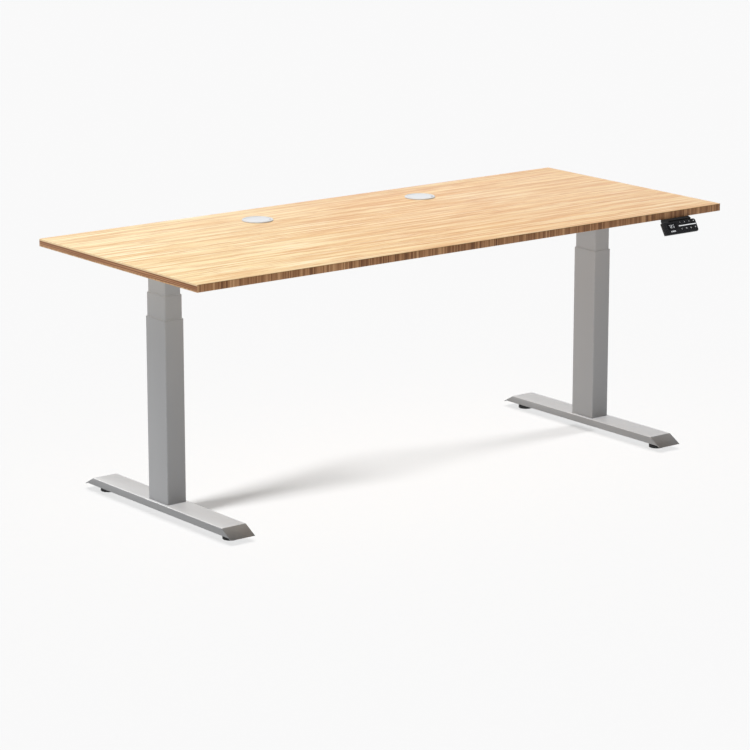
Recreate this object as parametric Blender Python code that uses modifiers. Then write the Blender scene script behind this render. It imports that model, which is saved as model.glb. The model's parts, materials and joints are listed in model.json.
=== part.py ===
"""Height adjustable standing desk with two three-stage lifting legs.

Metres, +Z up. +X runs along the desktop, -Y is the user's side and the floor is z = 0.
Every piece is modelled around the plane of the legs (y = 0) and hangs on one empty, which
moves the whole desk back by SHIFT_Y, so that the origin is centred under the footprint
that the handset lengthens at the front.
"""
import math

import bmesh
import bpy
from mathutils import Matrix, Vector

# Overall sizes, with the desk as it stands: the legs are a little above their lowest.
DESK_LENGTH = 1.800
DESK_DEPTH = 0.745
DESK_THICKNESS = 0.021
DESK_HEIGHT = 0.708
UNDERSIDE = DESK_HEIGHT - DESK_THICKNESS
LEG_X = 0.750
SHIFT_Y = 0.018

# Clearances.
GAP = 0.0003
SHEET = 0.0025

# Travel of each of the two telescoping steps of a leg, down and up from rest.
STAGE_DOWN = 0.045
STAGE_UP = 0.275

# Foot: an inverted channel with sloped ends, carried by two levellers.
FOOT_WIDTH = 0.078
FOOT_TOP = 0.038
FOOT_FLAT_LENGTH = 0.612
FOOT_LENGTH = 0.698
FOOT_TIP = 0.0142
FOOT_WALL_BOTTOM = 0.0185
LEVELLER_Y = 0.290
LEVELLER_RADIUS = 0.021
STUD_RADIUS = 0.004
BOLT_RADIUS = 0.003
BOLT_X = 0.015
BOLT_Y = 0.026

# Telescoping tubes: width along X, depth along Y, and the heights of their ends.
TUBE_WALL = 0.0015
TUBE_STEP = 0.0027
OUTER_WIDTH = 0.0608
OUTER_DEPTH = 0.0903
OUTER_CORNER = 0.0040
OUTER_BOTTOM = FOOT_TOP + GAP
OUTER_TOP = 0.5376
MIDDLE_BOTTOM = 0.108
MIDDLE_TOP = 0.6027
INNER_BOTTOM = 0.170
INNER_TOP = 0.6507
GLIDE_LENGTH = 0.050
GLIDE_RIM = 0.0010

# Lifting screws inside a leg, from the inside out.
UPPER_SCREW_RADIUS = 0.0050
LOWER_SCREW_RADIUS = 0.0085
LOWER_TUBE_RADIUS = 0.0120
UPPER_TUBE_RADIUS = 0.0150
LOWER_TUBE_TOP = 0.403
COLLAR_LEDGE = 0.450
COLLAR_BOTTOM = COLLAR_LEDGE + 0.005
COLLAR_TOP = COLLAR_BOTTOM + 0.005
NUT_LENGTH = 0.030
UPPER_NUT_BOTTOM = COLLAR_TOP + 0.004
# Each screw is long enough to stay in its nut with the leg right out.
LOWER_SCREW_BOTTOM = LOWER_TUBE_TOP - NUT_LENGTH - STAGE_UP - 0.001
UPPER_SCREW_BOTTOM = UPPER_NUT_BOTTOM - STAGE_UP - 0.004

# Gear head on top of a leg, and the beams that carry the desktop.
BRACKET_WIDTH = 0.064
BRACKET_LENGTH = 0.600
BRACKET_HEIGHT = 0.018
HEAD_BOTTOM = MIDDLE_TOP + STAGE_DOWN + 0.0033
WHEEL_TEETH = 18
WHEEL_RADIUS = 0.015
WORM_Y = 0.020
WORM_Z = 0.660
MOTOR_RADIUS = 0.019
RAIL_Y = 0.066
RAIL_WIDTH = 0.022
RAIL_HEIGHT = 0.034

# Cable grommets.
GROMMET_X = 0.286
GROMMET_Y = 0.225
GROMMET_HOLE_RADIUS = 0.0402
GROMMET_RIM_RADIUS = 0.0440
CAP_RADIUS = 0.0365

# Control box between the two rails.
BOX_X0 = 0.060
BOX_X1 = 0.310
BOX_HALF_DEPTH = 0.046
BOX_BOTTOM = 0.651
BOX_TOP = 0.6835
LEAD_RADIUS = 0.0022
SOCKET_Y = 0.020
SOCKET_Z = 0.668

# Handset: its face leans back by FACE_LEAN from the vertical, top edge at FACE_TOP.
HANDSET_X = 0.7225
HANDSET_WIDTH = 0.129
HANDSET_HEIGHT = 0.038
HANDSET_DEPTH = 0.015
FACE_LEAN = math.radians(31.0)
FACE_TOP = (-0.388, 0.6815)
FACE_THICKNESS = 0.0018
# Behind its rim the case narrows to the left and from below: (along the face, out of it).
RIM_DEPTH = 0.0045
LEFT_TAPER = 0.0110
LOWER_TAPER = 0.0055
# The tongue's sides close in from its front to its back edge.
TONGUE_FRONT = -0.3800
TONGUE_BACK = -0.3300
TONGUE_HALF_WIDTH = 0.0575
TONGUE_LEFT_TAPER = 0.0455
TONGUE_RIGHT_TAPER = 0.0200
NECK_LEFT = 0.6950
NECK_BACK = -0.3500
KEY_SIZE = (0.0116, 0.0066)
KEY_COLUMNS = (0.0046, 0.0217, 0.0388, 0.0559)
KEY_ROWS = (0.0131, -0.0063)
KEY_BACK = -0.0045
KEY_PROUD = 0.0004

ROUND_STEPS = 20
FINE_STEPS = 28
SCREW_STEPS = 14


# ---------------------------------------------------------------- scene and helpers

def clear_scene():
    """Remove whatever the file holds."""
    for item in list(bpy.data.objects):
        bpy.data.objects.remove(item, do_unlink=True)


clear_scene()
DESK = bpy.data.collections.new("standing_desk")
CUTTERS = bpy.data.collections.new("cutters")
bpy.context.scene.collection.children.link(DESK)
bpy.context.scene.collection.children.link(CUTTERS)
ORIGIN = bpy.data.objects.new("desk_origin", None)
ORIGIN.location = (0.0, SHIFT_Y, 0.0)
DESK.objects.link(ORIGIN)


def paint(name, colour, roughness, metallic=0.0):
    """Return a Principled material."""
    material = bpy.data.materials.new(name)
    material.use_nodes = True
    shader = material.node_tree.nodes["Principled BSDF"]
    shader.inputs["Base Color"].default_value = (*colour, 1.0)
    shader.inputs["Roughness"].default_value = roughness
    shader.inputs["Metallic"].default_value = metallic
    return material


def put(name, mesh, material, bevel=0.0, segments=2):
    """Add a named piece to the desk, with rounded edges if a bevel width is given."""
    piece = bpy.data.objects.new(name, mesh)
    piece.data.materials.append(material.copy())
    piece.data.materials[0].name = name
    DESK.objects.link(piece)
    piece.parent = ORIGIN
    if bevel:
        round_edges(piece, bevel, segments)
    return piece


def tool(mesh, name="cutter"):
    """Add a shape that only cuts or joins other pieces."""
    shape = bpy.data.objects.new(name, mesh)
    CUTTERS.objects.link(shape)
    shape.parent = ORIGIN
    shape.hide_render = True
    shape.display_type = "WIRE"
    return shape


def round_edges(piece, width, segments=2):
    """Bevel the sharp edges of a piece."""
    modifier = piece.modifiers.new("rounded edges", "BEVEL")
    modifier.width = width
    modifier.segments = segments
    modifier.limit_method = "ANGLE"
    modifier.angle_limit = math.radians(40.0)


def boolean(piece, operation, meshes):
    """Cut the meshes from a piece, or join them to it."""
    for mesh in meshes:
        modifier = piece.modifiers.new(operation.lower(), "BOOLEAN")
        modifier.operation = operation
        modifier.solver = "EXACT"
        modifier.object = tool(mesh)


def cut(piece, *meshes):
    """Cut meshes out of a piece."""
    boolean(piece, "DIFFERENCE", meshes)


def join(piece, *meshes):
    """Join meshes to a piece."""
    boolean(piece, "UNION", meshes)


def finish_mesh(shape, name, smooth_angle=None):
    """Turn a bmesh into a mesh."""
    mesh = bpy.data.meshes.new(name)
    shape.to_mesh(mesh)
    shape.free()
    if smooth_angle is not None:
        mesh.shade_smooth()
        mesh.set_sharp_from_angle(angle=smooth_angle)
    return mesh


def box(low, high, name="box"):
    """Return a box mesh between two corners."""
    low = Vector(low)
    high = Vector(high)
    size = high - low
    shape = bmesh.new()
    bmesh.ops.create_cube(shape, size=1.0)
    bmesh.ops.scale(shape, vec=size, verts=shape.verts)
    bmesh.ops.translate(shape, vec=(low + high) / 2, verts=shape.verts)
    return finish_mesh(shape, name)


def cylinder(radius, start, end, steps=ROUND_STEPS, name="cylinder"):
    """Return a cylinder mesh from one point to another."""
    start = Vector(start)
    end = Vector(end)
    along = end - start
    shape = bmesh.new()
    bmesh.ops.create_cone(
        shape,
        cap_ends=True,
        segments=steps,
        radius1=radius,
        radius2=radius,
        depth=along.length,
    )
    turn = Vector((0, 0, 1)).rotation_difference(along).to_matrix().to_4x4()
    bmesh.ops.transform(shape, matrix=Matrix.Translation((start + end) / 2) @ turn, verts=shape.verts)
    return finish_mesh(shape, name, math.radians(40.0))


def turned(name, profile, material, centre, closed, steps=ROUND_STEPS):
    """Turn a profile of (radius, height) points about a vertical line through centre."""
    shape = bmesh.new()
    corners = [shape.verts.new((radius, 0.0, height)) for radius, height in profile]
    for first, second in zip(corners, corners[1:]):
        shape.edges.new((first, second))
    if closed:
        shape.edges.new((corners[-1], corners[0]))
    piece = put(name, finish_mesh(shape, name), material)
    piece.location = (centre[0], centre[1], 0.0)
    screw = piece.modifiers.new("turned", "SCREW")
    screw.steps = steps
    screw.render_steps = steps
    screw.use_merge_vertices = True
    screw.merge_threshold = 0.00005
    screw.use_smooth_shade = False
    return piece


def rounded_rectangle(width, depth, radius, steps=3):
    """Return the outline of a rectangle with round corners, centred on the origin."""
    points = []
    for quarter, (sign_x, sign_y) in enumerate(((1, 1), (-1, 1), (-1, -1), (1, -1))):
        centre = Vector((sign_x * (width / 2 - radius), sign_y * (depth / 2 - radius)))
        for step in range(steps + 1):
            angle = math.radians(90.0 * (quarter + step / steps))
            points.append(centre + radius * Vector((math.cos(angle), math.sin(angle))))
    return points


def prism(outlines, low, high, place=Matrix(), name="prism"):
    """Extrude flat outlines (the first, less the others) from low to high, then place them."""
    curve = bpy.data.curves.new(name, "CURVE")
    curve.dimensions = "2D"
    curve.fill_mode = "BOTH"
    curve.extrude = (high - low) / 2
    for outline in outlines:
        spline = curve.splines.new("POLY")
        spline.points.add(len(outline) - 1)
        for point, corner in zip(spline.points, outline):
            point.co = (corner[0], corner[1], 0.0, 1.0)
        spline.use_cyclic_u = True
    return solid_from_curve(curve, place @ Matrix.Translation((0, 0, (low + high) / 2)), name)


def solid_from_curve(curve, place, name):
    """Return a curve's surface as one closed mesh, its caps welded on."""
    holder = bpy.data.objects.new(name, curve)
    bpy.context.scene.collection.objects.link(holder)
    evaluated = holder.evaluated_get(bpy.context.evaluated_depsgraph_get())
    mesh = bpy.data.meshes.new_from_object(evaluated)
    shape = bmesh.new()
    shape.from_mesh(mesh)
    bmesh.ops.remove_doubles(shape, verts=shape.verts, dist=0.00001)
    bmesh.ops.recalc_face_normals(shape, faces=shape.faces)
    bmesh.ops.transform(shape, matrix=place, verts=shape.verts)
    bpy.data.objects.remove(holder, do_unlink=True)
    return finish_mesh(shape, name)


def wire(name, route, radius, material, spacing=0.018):
    """Lay a round lead along a smooth curve through the route's points."""
    points = [Vector(point) for point in route]
    samples = [points[0]]
    for index in range(len(points) - 1):
        before = points[max(index - 1, 0)]
        start = points[index]
        end = points[index + 1]
        after = points[min(index + 2, len(points) - 1)]
        count = max(1, round((end - start).length / spacing))
        for step in range(1, count + 1):
            samples.append(smooth_point(before, start, end, after, step / count))
    curve = bpy.data.curves.new(name, "CURVE")
    curve.dimensions = "3D"
    curve.bevel_depth = radius
    curve.bevel_resolution = 2
    curve.use_fill_caps = True
    spline = curve.splines.new("POLY")
    spline.points.add(len(samples) - 1)
    for point, sample in zip(spline.points, samples):
        point.co = (*sample, 1.0)
    lead = bpy.data.objects.new(name, curve)
    curve.materials.append(material)
    DESK.objects.link(lead)
    lead.parent = ORIGIN
    return lead


def smooth_point(before, start, end, after, share):
    """Return a point between start and end on a smooth curve through all four points."""
    second = share * share
    third = second * share
    return 0.5 * (
        2 * start
        + (end - before) * share
        + (2 * before - 5 * start + 4 * end - after) * second
        + (3 * start - before - 3 * end + after) * third
    )


# Turns a flat outline in X and Y into one in Y and Z, extruded along X.
ALONG_X = Matrix(((0, 0, 1, 0), (1, 0, 0, 0), (0, 1, 0, 0), (0, 0, 0, 1)))

BAMBOO = paint("bamboo", (0.80, 0.61, 0.38), 0.45)
POWDER = paint("silver powder coat", (0.50, 0.50, 0.51), 0.42, 0.3)
STEEL = paint("plain steel", (0.55, 0.55, 0.56), 0.30, 1.0)
BLACK = paint("black plastic", (0.02, 0.02, 0.022), 0.45)
WHITE = paint("white plastic", (0.82, 0.83, 0.85), 0.35)
GREY = paint("grey plastic", (0.30, 0.30, 0.31), 0.50)
BRASS = paint("brass", (0.70, 0.55, 0.25), 0.35, 1.0)
BOARD = paint("circuit board", (0.05, 0.22, 0.10), 0.50)
SIDES = (("left", -1.0), ("right", 1.0))


# ---------------------------------------------------------------- desktop and grommets

def make_desktop():
    """Solid bamboo board with two round cable holes near its back edge."""
    half_length = DESK_LENGTH / 2
    half_depth = DESK_DEPTH / 2
    board = box((-half_length, -half_depth, UNDERSIDE), (half_length, half_depth, DESK_HEIGHT))
    desktop = put("desktop", board, BAMBOO, bevel=0.0010)
    below = UNDERSIDE - 0.010
    above = DESK_HEIGHT + 0.010
    for _, side in SIDES:
        x = side * GROMMET_X
        cut(desktop, cylinder(GROMMET_HOLE_RADIUS, (x, GROMMET_Y, below), (x, GROMMET_Y, above), FINE_STEPS))


def make_grommet(name, side):
    """Two-piece grommet: a flanged sleeve in the desktop and a lift-off cap."""
    centre = (side * GROMMET_X, GROMMET_Y)
    seat = DESK_HEIGHT + GAP
    ledge = seat + 0.0003
    rim_top = DESK_HEIGHT + 0.0040
    sleeve_radius = GROMMET_HOLE_RADIUS - 0.0005
    sleeve = (
        (GROMMET_RIM_RADIUS - 0.0018, rim_top),
        (GROMMET_RIM_RADIUS, rim_top - 0.0018),
        (GROMMET_RIM_RADIUS, seat),
        (sleeve_radius, seat),
        (sleeve_radius, UNDERSIDE + 0.002),
        (sleeve_radius - 0.0022, UNDERSIDE + 0.002),
        (sleeve_radius - 0.0022, seat - 0.0015),
        (CAP_RADIUS - 0.0025, seat - 0.0015),
        (CAP_RADIUS - 0.0025, ledge),
        (CAP_RADIUS + GAP, ledge),
        (CAP_RADIUS + GAP, rim_top - 0.0008),
        (CAP_RADIUS + 0.0012, rim_top),
    )
    turned("grommet_sleeve_" + name, sleeve, WHITE, centre, closed=True, steps=FINE_STEPS)
    bottom = ledge + GAP
    top = rim_top - 0.0009
    cap = (
        (0.0, top),
        (CAP_RADIUS - 0.0006, top),
        (CAP_RADIUS, top - 0.0006),
        (CAP_RADIUS, bottom),
        (0.0, bottom),
    )
    lid = turned("grommet_cap_" + name, cap, WHITE, centre, closed=False, steps=FINE_STEPS)
    # The cable notch in the cap's edge faces the front right.
    notch = Vector((0.79, -0.61)) * (CAP_RADIUS - 0.001)
    notch_x = centre[0] + notch.x
    notch_y = centre[1] + notch.y
    cut(lid, cylinder(0.0045, (notch_x, notch_y, bottom - 0.005), (notch_x, notch_y, top + 0.005), 12))


# ---------------------------------------------------------------- feet and levellers

def make_foot(name, side):
    """Inverted steel channel with sloped ends, bolted under the column."""
    x = side * LEG_X
    half = FOOT_LENGTH / 2
    flat = FOOT_FLAT_LENGTH / 2
    outline = ((-half, FOOT_TIP), (half, FOOT_TIP), (flat, FOOT_TOP), (-flat, FOOT_TOP))
    shell = prism([outline], x - FOOT_WIDTH / 2, x + FOOT_WIDTH / 2, ALONG_X)
    foot = put("foot_" + name, shell, POWDER, bevel=0.0020)
    # The hollow follows the outside at the sheet's thickness, and the side walls are trimmed
    # higher than the tips.
    slope = math.atan2(FOOT_TOP - FOOT_TIP, half - flat)
    roof = FOOT_TOP - SHEET
    roof_half = flat - SHEET * math.tan(slope / 2)
    floor = FOOT_TIP - 0.010
    floor_half = roof_half + (roof - floor) / math.tan(slope)
    hollow = ((-floor_half, floor), (floor_half, floor), (roof_half, roof), (-roof_half, roof))
    cut(foot, prism([hollow], x - FOOT_WIDTH / 2 + SHEET, x + FOOT_WIDTH / 2 - SHEET, ALONG_X))
    trim_half = roof_half + (roof - FOOT_WALL_BOTTOM) / math.tan(slope)
    trim = [(-floor_half, floor), (floor_half, floor)]
    trim += [(trim_half, FOOT_WALL_BOTTOM), (-trim_half, FOOT_WALL_BOTTOM)]
    cut(foot, prism([trim], x - FOOT_WIDTH, x + FOOT_WIDTH, ALONG_X))
    for y in (-LEVELLER_Y, LEVELLER_Y):
        join(foot, cylinder(0.008, (x, y, 0.025), (x, y, roof + 0.001), 16))
        cut(foot, cylinder(STUD_RADIUS + GAP, (x, y, 0.020), (x, y, roof + 0.0003), 16))
    for bolt_x, bolt_y in bolt_places(x):
        cut(foot, cylinder(BOLT_RADIUS + GAP, (bolt_x, bolt_y, 0.030), (bolt_x, bolt_y, 0.045), 12))


def bolt_places(x):
    """Return the four bolt centres of a column."""
    return [(x + i * BOLT_X, j * BOLT_Y) for i in (-1, 1) for j in (-1, 1)]


def make_clamp_plate(name, side):
    """Plate under the foot with the four bolts that hold the column."""
    x = side * LEG_X
    top = FOOT_TOP - SHEET - GAP
    bottom = top - 0.004
    sheet = box((x - 0.024, -0.040, bottom), (x + 0.024, 0.040, top))
    plate = put("foot_clamp_plate_" + name, sheet, STEEL)
    for bolt_x, bolt_y in bolt_places(x):
        shank = cylinder(BOLT_RADIUS, (bolt_x, bolt_y, bottom), (bolt_x, bolt_y, OUTER_BOTTOM + 0.005), 12)
        head = cylinder(0.0055, (bolt_x, bolt_y, bottom - 0.005), (bolt_x, bolt_y, bottom + 0.001), 6)
        join(plate, shank, head)


def make_leveller(name, side, end, y):
    """Round pad on a threaded stud that screws into the foot."""
    profile = (
        (0.0, 0.031),
        (STUD_RADIUS - 0.0008, 0.031),
        (STUD_RADIUS, 0.0302),
        (STUD_RADIUS, 0.0165),
        (0.011, 0.0165),
        (LEVELLER_RADIUS - 0.001, 0.0105),
        (LEVELLER_RADIUS, 0.0090),
        (LEVELLER_RADIUS, 0.0012),
        (LEVELLER_RADIUS - 0.0012, 0.0),
        (0.0, 0.0),
    )
    turned(f"leveller_{name}_{end}", profile, BLACK, (side * LEG_X, y), closed=False, steps=16)


# ---------------------------------------------------------------- columns

def make_tube(node, x, width, depth, corner, bottom, top, plate_low, plate_high, holes):
    """Rectangular tube with a plate across one end, drilled with (x, y, radius) holes."""
    place = Matrix.Translation((x, 0, 0))
    outside = rounded_rectangle(width, depth, corner)
    inside = rounded_rectangle(width - 2 * TUBE_WALL, depth - 2 * TUBE_WALL, corner - TUBE_WALL)
    tube = put(node, prism([outside], bottom, top, place), POWDER)
    if plate_high < top:
        cut(tube, prism([inside], plate_high, top + 0.010, place))
    if plate_low > bottom:
        cut(tube, prism([inside], bottom - 0.010, plate_low, place))
    for hole_x, hole_y, radius in holes:
        low = (hole_x, hole_y, plate_low - 0.004)
        high = (hole_x, hole_y, plate_high + 0.004)
        cut(tube, cylinder(radius, low, high, SCREW_STEPS))


def make_column(name, side):
    """Three telescoping tubes, the largest at the bottom."""
    x = side * LEG_X
    bolts = [(bolt_x, bolt_y, BOLT_RADIUS + GAP) for bolt_x, bolt_y in bolt_places(x)]
    middle_width = OUTER_WIDTH - 2 * TUBE_STEP
    middle_depth = OUTER_DEPTH - 2 * TUBE_STEP
    make_tube(
        "outer_tube_" + name, x, OUTER_WIDTH, OUTER_DEPTH, OUTER_CORNER,
        OUTER_BOTTOM, OUTER_TOP, OUTER_BOTTOM, OUTER_BOTTOM + 0.006, bolts,
    )
    make_tube(
        "middle_tube_" + name, x, middle_width, middle_depth, OUTER_CORNER - 0.0005,
        MIDDLE_BOTTOM, MIDDLE_TOP, MIDDLE_BOTTOM, MIDDLE_BOTTOM + 0.005,
        [(x, 0.0, LOWER_TUBE_RADIUS + 0.0004)],
    )
    make_tube(
        "inner_tube_" + name, x, middle_width - 2 * TUBE_STEP, middle_depth - 2 * TUBE_STEP,
        OUTER_CORNER - 0.0010, INNER_BOTTOM, INNER_TOP, INNER_TOP - 0.006, INNER_TOP,
        [(x, 0.0, UPPER_SCREW_RADIUS + 0.0006)],
    )
    make_glide("outer_glide_" + name, x, OUTER_WIDTH, OUTER_DEPTH, OUTER_CORNER, OUTER_TOP)
    make_glide(
        "middle_glide_" + name, x, middle_width, middle_depth, OUTER_CORNER - 0.0005, MIDDLE_TOP,
    )


def make_glide(node, x, width, depth, corner, tube_top):
    """Plastic liner in the mouth of a tube, with a thin rim over the tube's end."""
    place = Matrix.Translation((x, 0, 0))
    slack = 2 * (TUBE_WALL + GAP)
    bore = 2 * (TUBE_STEP - GAP)
    sleeve = rounded_rectangle(width - slack, depth - slack, corner - TUBE_WALL - GAP)
    inside = rounded_rectangle(width - bore, depth - bore, corner - 0.0005 + GAP)
    rim = rounded_rectangle(width - 0.0010, depth - 0.0010, corner - 0.0005)
    rim_low = tube_top + GAP
    glide = put(node, prism([sleeve, inside], tube_top - GLIDE_LENGTH, rim_low + 0.0004, place), GREY)
    join(glide, prism([rim, inside], rim_low, rim_low + GLIDE_RIM, place))


def make_screws(name, side):
    """The two lifting screws of a leg, one inside the other, and their nut tubes."""
    centre = (side * LEG_X, 0.0)
    wheel_bottom = WORM_Z - 0.004
    upper_screw = (
        (0.0, 0.667),
        (UPPER_SCREW_RADIUS, 0.667),
        (UPPER_SCREW_RADIUS, wheel_bottom - GAP),
        (0.0080, wheel_bottom - GAP),
        (0.0080, HEAD_BOTTOM + 0.0023),
        (UPPER_SCREW_RADIUS, HEAD_BOTTOM + 0.0023),
        (UPPER_SCREW_RADIUS, UPPER_SCREW_BOTTOM + 0.0015),
        (UPPER_SCREW_RADIUS - 0.0015, UPPER_SCREW_BOTTOM),
        (0.0, UPPER_SCREW_BOTTOM),
    )
    turned("spindle_upper_" + name, upper_screw, STEEL, centre, closed=False, steps=SCREW_STEPS)
    lower_bore = UPPER_SCREW_RADIUS + 0.0006
    collar_radius = LOWER_TUBE_RADIUS + 0.0002
    lower_screw = (
        (collar_radius, COLLAR_TOP),
        (collar_radius, COLLAR_BOTTOM),
        (LOWER_SCREW_RADIUS, COLLAR_BOTTOM),
        (LOWER_SCREW_RADIUS, LOWER_SCREW_BOTTOM),
        (lower_bore, LOWER_SCREW_BOTTOM),
        (lower_bore, COLLAR_TOP),
    )
    turned("spindle_lower_" + name, lower_screw, STEEL, centre, closed=True, steps=SCREW_STEPS)
    nut_low = LOWER_TUBE_TOP - NUT_LENGTH
    lower_tube = (
        (LOWER_TUBE_RADIUS, LOWER_TUBE_TOP),
        (LOWER_TUBE_RADIUS, OUTER_BOTTOM + 0.0063),
        (LOWER_TUBE_RADIUS - 0.0022, OUTER_BOTTOM + 0.0063),
        (LOWER_TUBE_RADIUS - 0.0022, nut_low),
        (LOWER_SCREW_RADIUS + GAP, nut_low),
        (LOWER_SCREW_RADIUS + GAP, LOWER_TUBE_TOP),
    )
    turned("lower_nut_tube_" + name, lower_tube, BRASS, centre, closed=True, steps=SCREW_STEPS)
    inside = UPPER_TUBE_RADIUS - 0.0020
    ledge_top = COLLAR_BOTTOM - GAP
    upper_tube = (
        (UPPER_TUBE_RADIUS, UPPER_NUT_BOTTOM + NUT_LENGTH),
        (UPPER_TUBE_RADIUS, MIDDLE_BOTTOM + 0.0053),
        (inside, MIDDLE_BOTTOM + 0.0053),
        (inside, COLLAR_LEDGE),
        (LOWER_SCREW_RADIUS + GAP, COLLAR_LEDGE),
        (LOWER_SCREW_RADIUS + GAP, ledge_top),
        (inside, ledge_top),
        (inside, UPPER_NUT_BOTTOM),
        (UPPER_SCREW_RADIUS + GAP, UPPER_NUT_BOTTOM),
        (UPPER_SCREW_RADIUS + GAP, UPPER_NUT_BOTTOM + NUT_LENGTH),
    )
    turned("upper_nut_tube_" + name, upper_tube, BRASS, centre, closed=True, steps=SCREW_STEPS)


# ---------------------------------------------------------------- gear heads and beams

def inward_box(side, near, far):
    """Return a box at a leg, its first coordinate running from the column to the middle."""
    ends = sorted((inward(side, near[0]), inward(side, far[0])))
    return box((ends[0], near[1], near[2]), (ends[1], far[1], far[2]))


def inward(side, distance):
    """Return the X of a point that lies this far from a column towards the middle."""
    return side * (LEG_X - distance)


def make_head(name, side):
    """Gear casing on the column, open above, with a long pocket for the motor."""
    seat = inward_box(side, (-0.030, -0.045, HEAD_BOTTOM), (0.034, 0.045, 0.6684))
    casing = put("head_casing_" + name, seat, GREY)
    pocket_floor = WORM_Z - MOTOR_RADIUS - 0.0025
    join(casing, inward_box(side, (0.0325, -0.006, pocket_floor - 0.002), (0.135, 0.046, 0.684)))
    cut(casing, inward_box(side, (-0.028, -0.043, HEAD_BOTTOM + 0.002), (0.0305, 0.043, 0.672)))
    cut(casing, inward_box(side, (0.0345, -0.004, pocket_floor), (0.133, 0.044, 0.690)))
    cut(casing, inward_box(side, (0.025, WORM_Y - 0.007, 0.6535), (0.040, WORM_Y + 0.007, 0.6668)))
    below = (side * LEG_X, 0.0, HEAD_BOTTOM - 0.004)
    above = (side * LEG_X, 0.0, HEAD_BOTTOM + 0.004)
    cut(casing, cylinder(UPPER_SCREW_RADIUS + 0.0006, below, above, 16))
    outlet = (inward(side, 0.128), WORM_Y, WORM_Z), (inward(side, 0.140), WORM_Y, WORM_Z)
    cut(casing, cylinder(LEAD_RADIUS + GAP, *outlet, 12))


def make_motor(name, side):
    """Motor lying beside the column; its shaft carries the worm."""
    start = (inward(side, 0.046), WORM_Y, WORM_Z)
    end = (inward(side, 0.126), WORM_Y, WORM_Z)
    motor = put("motor_" + name, cylinder(MOTOR_RADIUS, start, end), STEEL)
    nose = cylinder(0.0062, (inward(side, 0.034), WORM_Y, WORM_Z), (inward(side, 0.047), WORM_Y, WORM_Z), 12)
    worm = cylinder(0.0045, (inward(side, -0.014), WORM_Y, WORM_Z), (inward(side, 0.035), WORM_Y, WORM_Z), 12)
    join(motor, nose, worm)


def make_worm_wheel(name, side):
    """Toothed wheel that turns the upper screw."""
    rim = []
    for tooth in range(WHEEL_TEETH):
        for share, radius in ((0.0, 0.0135), (0.25, 0.0135), (0.40, WHEEL_RADIUS), (0.85, WHEEL_RADIUS)):
            angle = math.tau * (tooth + share) / WHEEL_TEETH
            rim.append((radius * math.cos(angle), radius * math.sin(angle)))
    hole_radius = UPPER_SCREW_RADIUS + GAP
    bore = []
    for step in range(SCREW_STEPS):
        angle = math.tau * step / SCREW_STEPS
        bore.append((hole_radius * math.cos(angle), hole_radius * math.sin(angle)))
    place = Matrix.Translation((side * LEG_X, 0, 0))
    wheel = prism([rim, bore], WORM_Z - 0.004, WORM_Z + 0.004, place)
    put("worm_wheel_" + name, wheel, BRASS)


def make_bracket(name, side):
    """Channel under the desktop, open below, with four screw holes."""
    x = side * LEG_X
    top = UNDERSIDE - GAP
    half = BRACKET_LENGTH / 2
    low = top - BRACKET_HEIGHT
    outline = (
        (-half, top),
        (-half, top - 0.006),
        (-half + 0.030, low),
        (half - 0.030, low),
        (half, top - 0.006),
        (half, top),
    )
    channel = prism([outline], x - BRACKET_WIDTH / 2, x + BRACKET_WIDTH / 2, ALONG_X)
    bracket = put("side_bracket_" + name, channel, POWDER)
    inside = BRACKET_WIDTH / 2 - SHEET
    cut(bracket, box((x - inside, -half - 0.01, low - 0.01), (x + inside, half + 0.01, top - SHEET)))
    for y in (-0.27, -0.13, 0.13, 0.27):
        cut(bracket, cylinder(0.0030, (x, y, top - 0.008), (x, y, top + 0.004), 12))


def make_rail(name, y):
    """Rectangular tube between the two brackets."""
    half = LEG_X - BRACKET_WIDTH / 2 - GAP
    centre = UNDERSIDE - GAP - RAIL_HEIGHT / 2
    outside = [point + Vector((y, centre)) for point in rounded_rectangle(RAIL_WIDTH, RAIL_HEIGHT, 0.003)]
    hollow = rounded_rectangle(RAIL_WIDTH - 2 * TUBE_WALL, RAIL_HEIGHT - 2 * TUBE_WALL, 0.0015)
    inside = [point + Vector((y, centre)) for point in hollow]
    put("rail_" + name, prism([outside, inside], -half, half, ALONG_X), POWDER)


# ---------------------------------------------------------------- control box and leads

def make_control_box():
    """Plastic tray under a lid, with the mains inlet at its left end."""
    tray = box((BOX_X0, -BOX_HALF_DEPTH, BOX_BOTTOM), (BOX_X1, BOX_HALF_DEPTH, BOX_TOP))
    base = put("control_box_base", tray, BLACK, bevel=0.0015, segments=1)
    wall = 0.002
    low = (BOX_X0 + wall, -BOX_HALF_DEPTH + wall, BOX_BOTTOM + wall)
    cut(base, box(low, (BOX_X1 - wall, BOX_HALF_DEPTH - wall, BOX_TOP + 0.005)))
    for x, y in ((BOX_X0, SOCKET_Y), (BOX_X1, SOCKET_Y), (BOX_X1, -SOCKET_Y)):
        hole = cylinder(LEAD_RADIUS + GAP, (x - 0.006, y, SOCKET_Z), (x + 0.006, y, SOCKET_Z), 12)
        cut(base, hole)
    inlet_y = -SOCKET_Y
    cut(base, box((BOX_X0 - 0.005, inlet_y - 0.0143, 0.6557), (BOX_X0 + 0.005, inlet_y + 0.0143, 0.6783)))
    lid_low = BOX_TOP + GAP
    lid_high = UNDERSIDE - GAP
    plate = box((BOX_X0 - 0.016, -BOX_HALF_DEPTH, lid_low), (BOX_X1 + 0.016, BOX_HALF_DEPTH, lid_high))
    lid = put("control_box_lid", plate, BLACK)
    for x in (BOX_X0 - 0.009, BOX_X1 + 0.009):
        for y in (-0.034, 0.034):
            cut(lid, cylinder(0.0024, (x, y, lid_low - 0.003), (x, y, lid_high + 0.003), 12))
    board = box((BOX_X0 + 0.022, -0.040, 0.6560), (BOX_X1 - 0.008, 0.040, 0.6576))
    put("control_board", board, BOARD)
    make_inlet(inlet_y)


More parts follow.
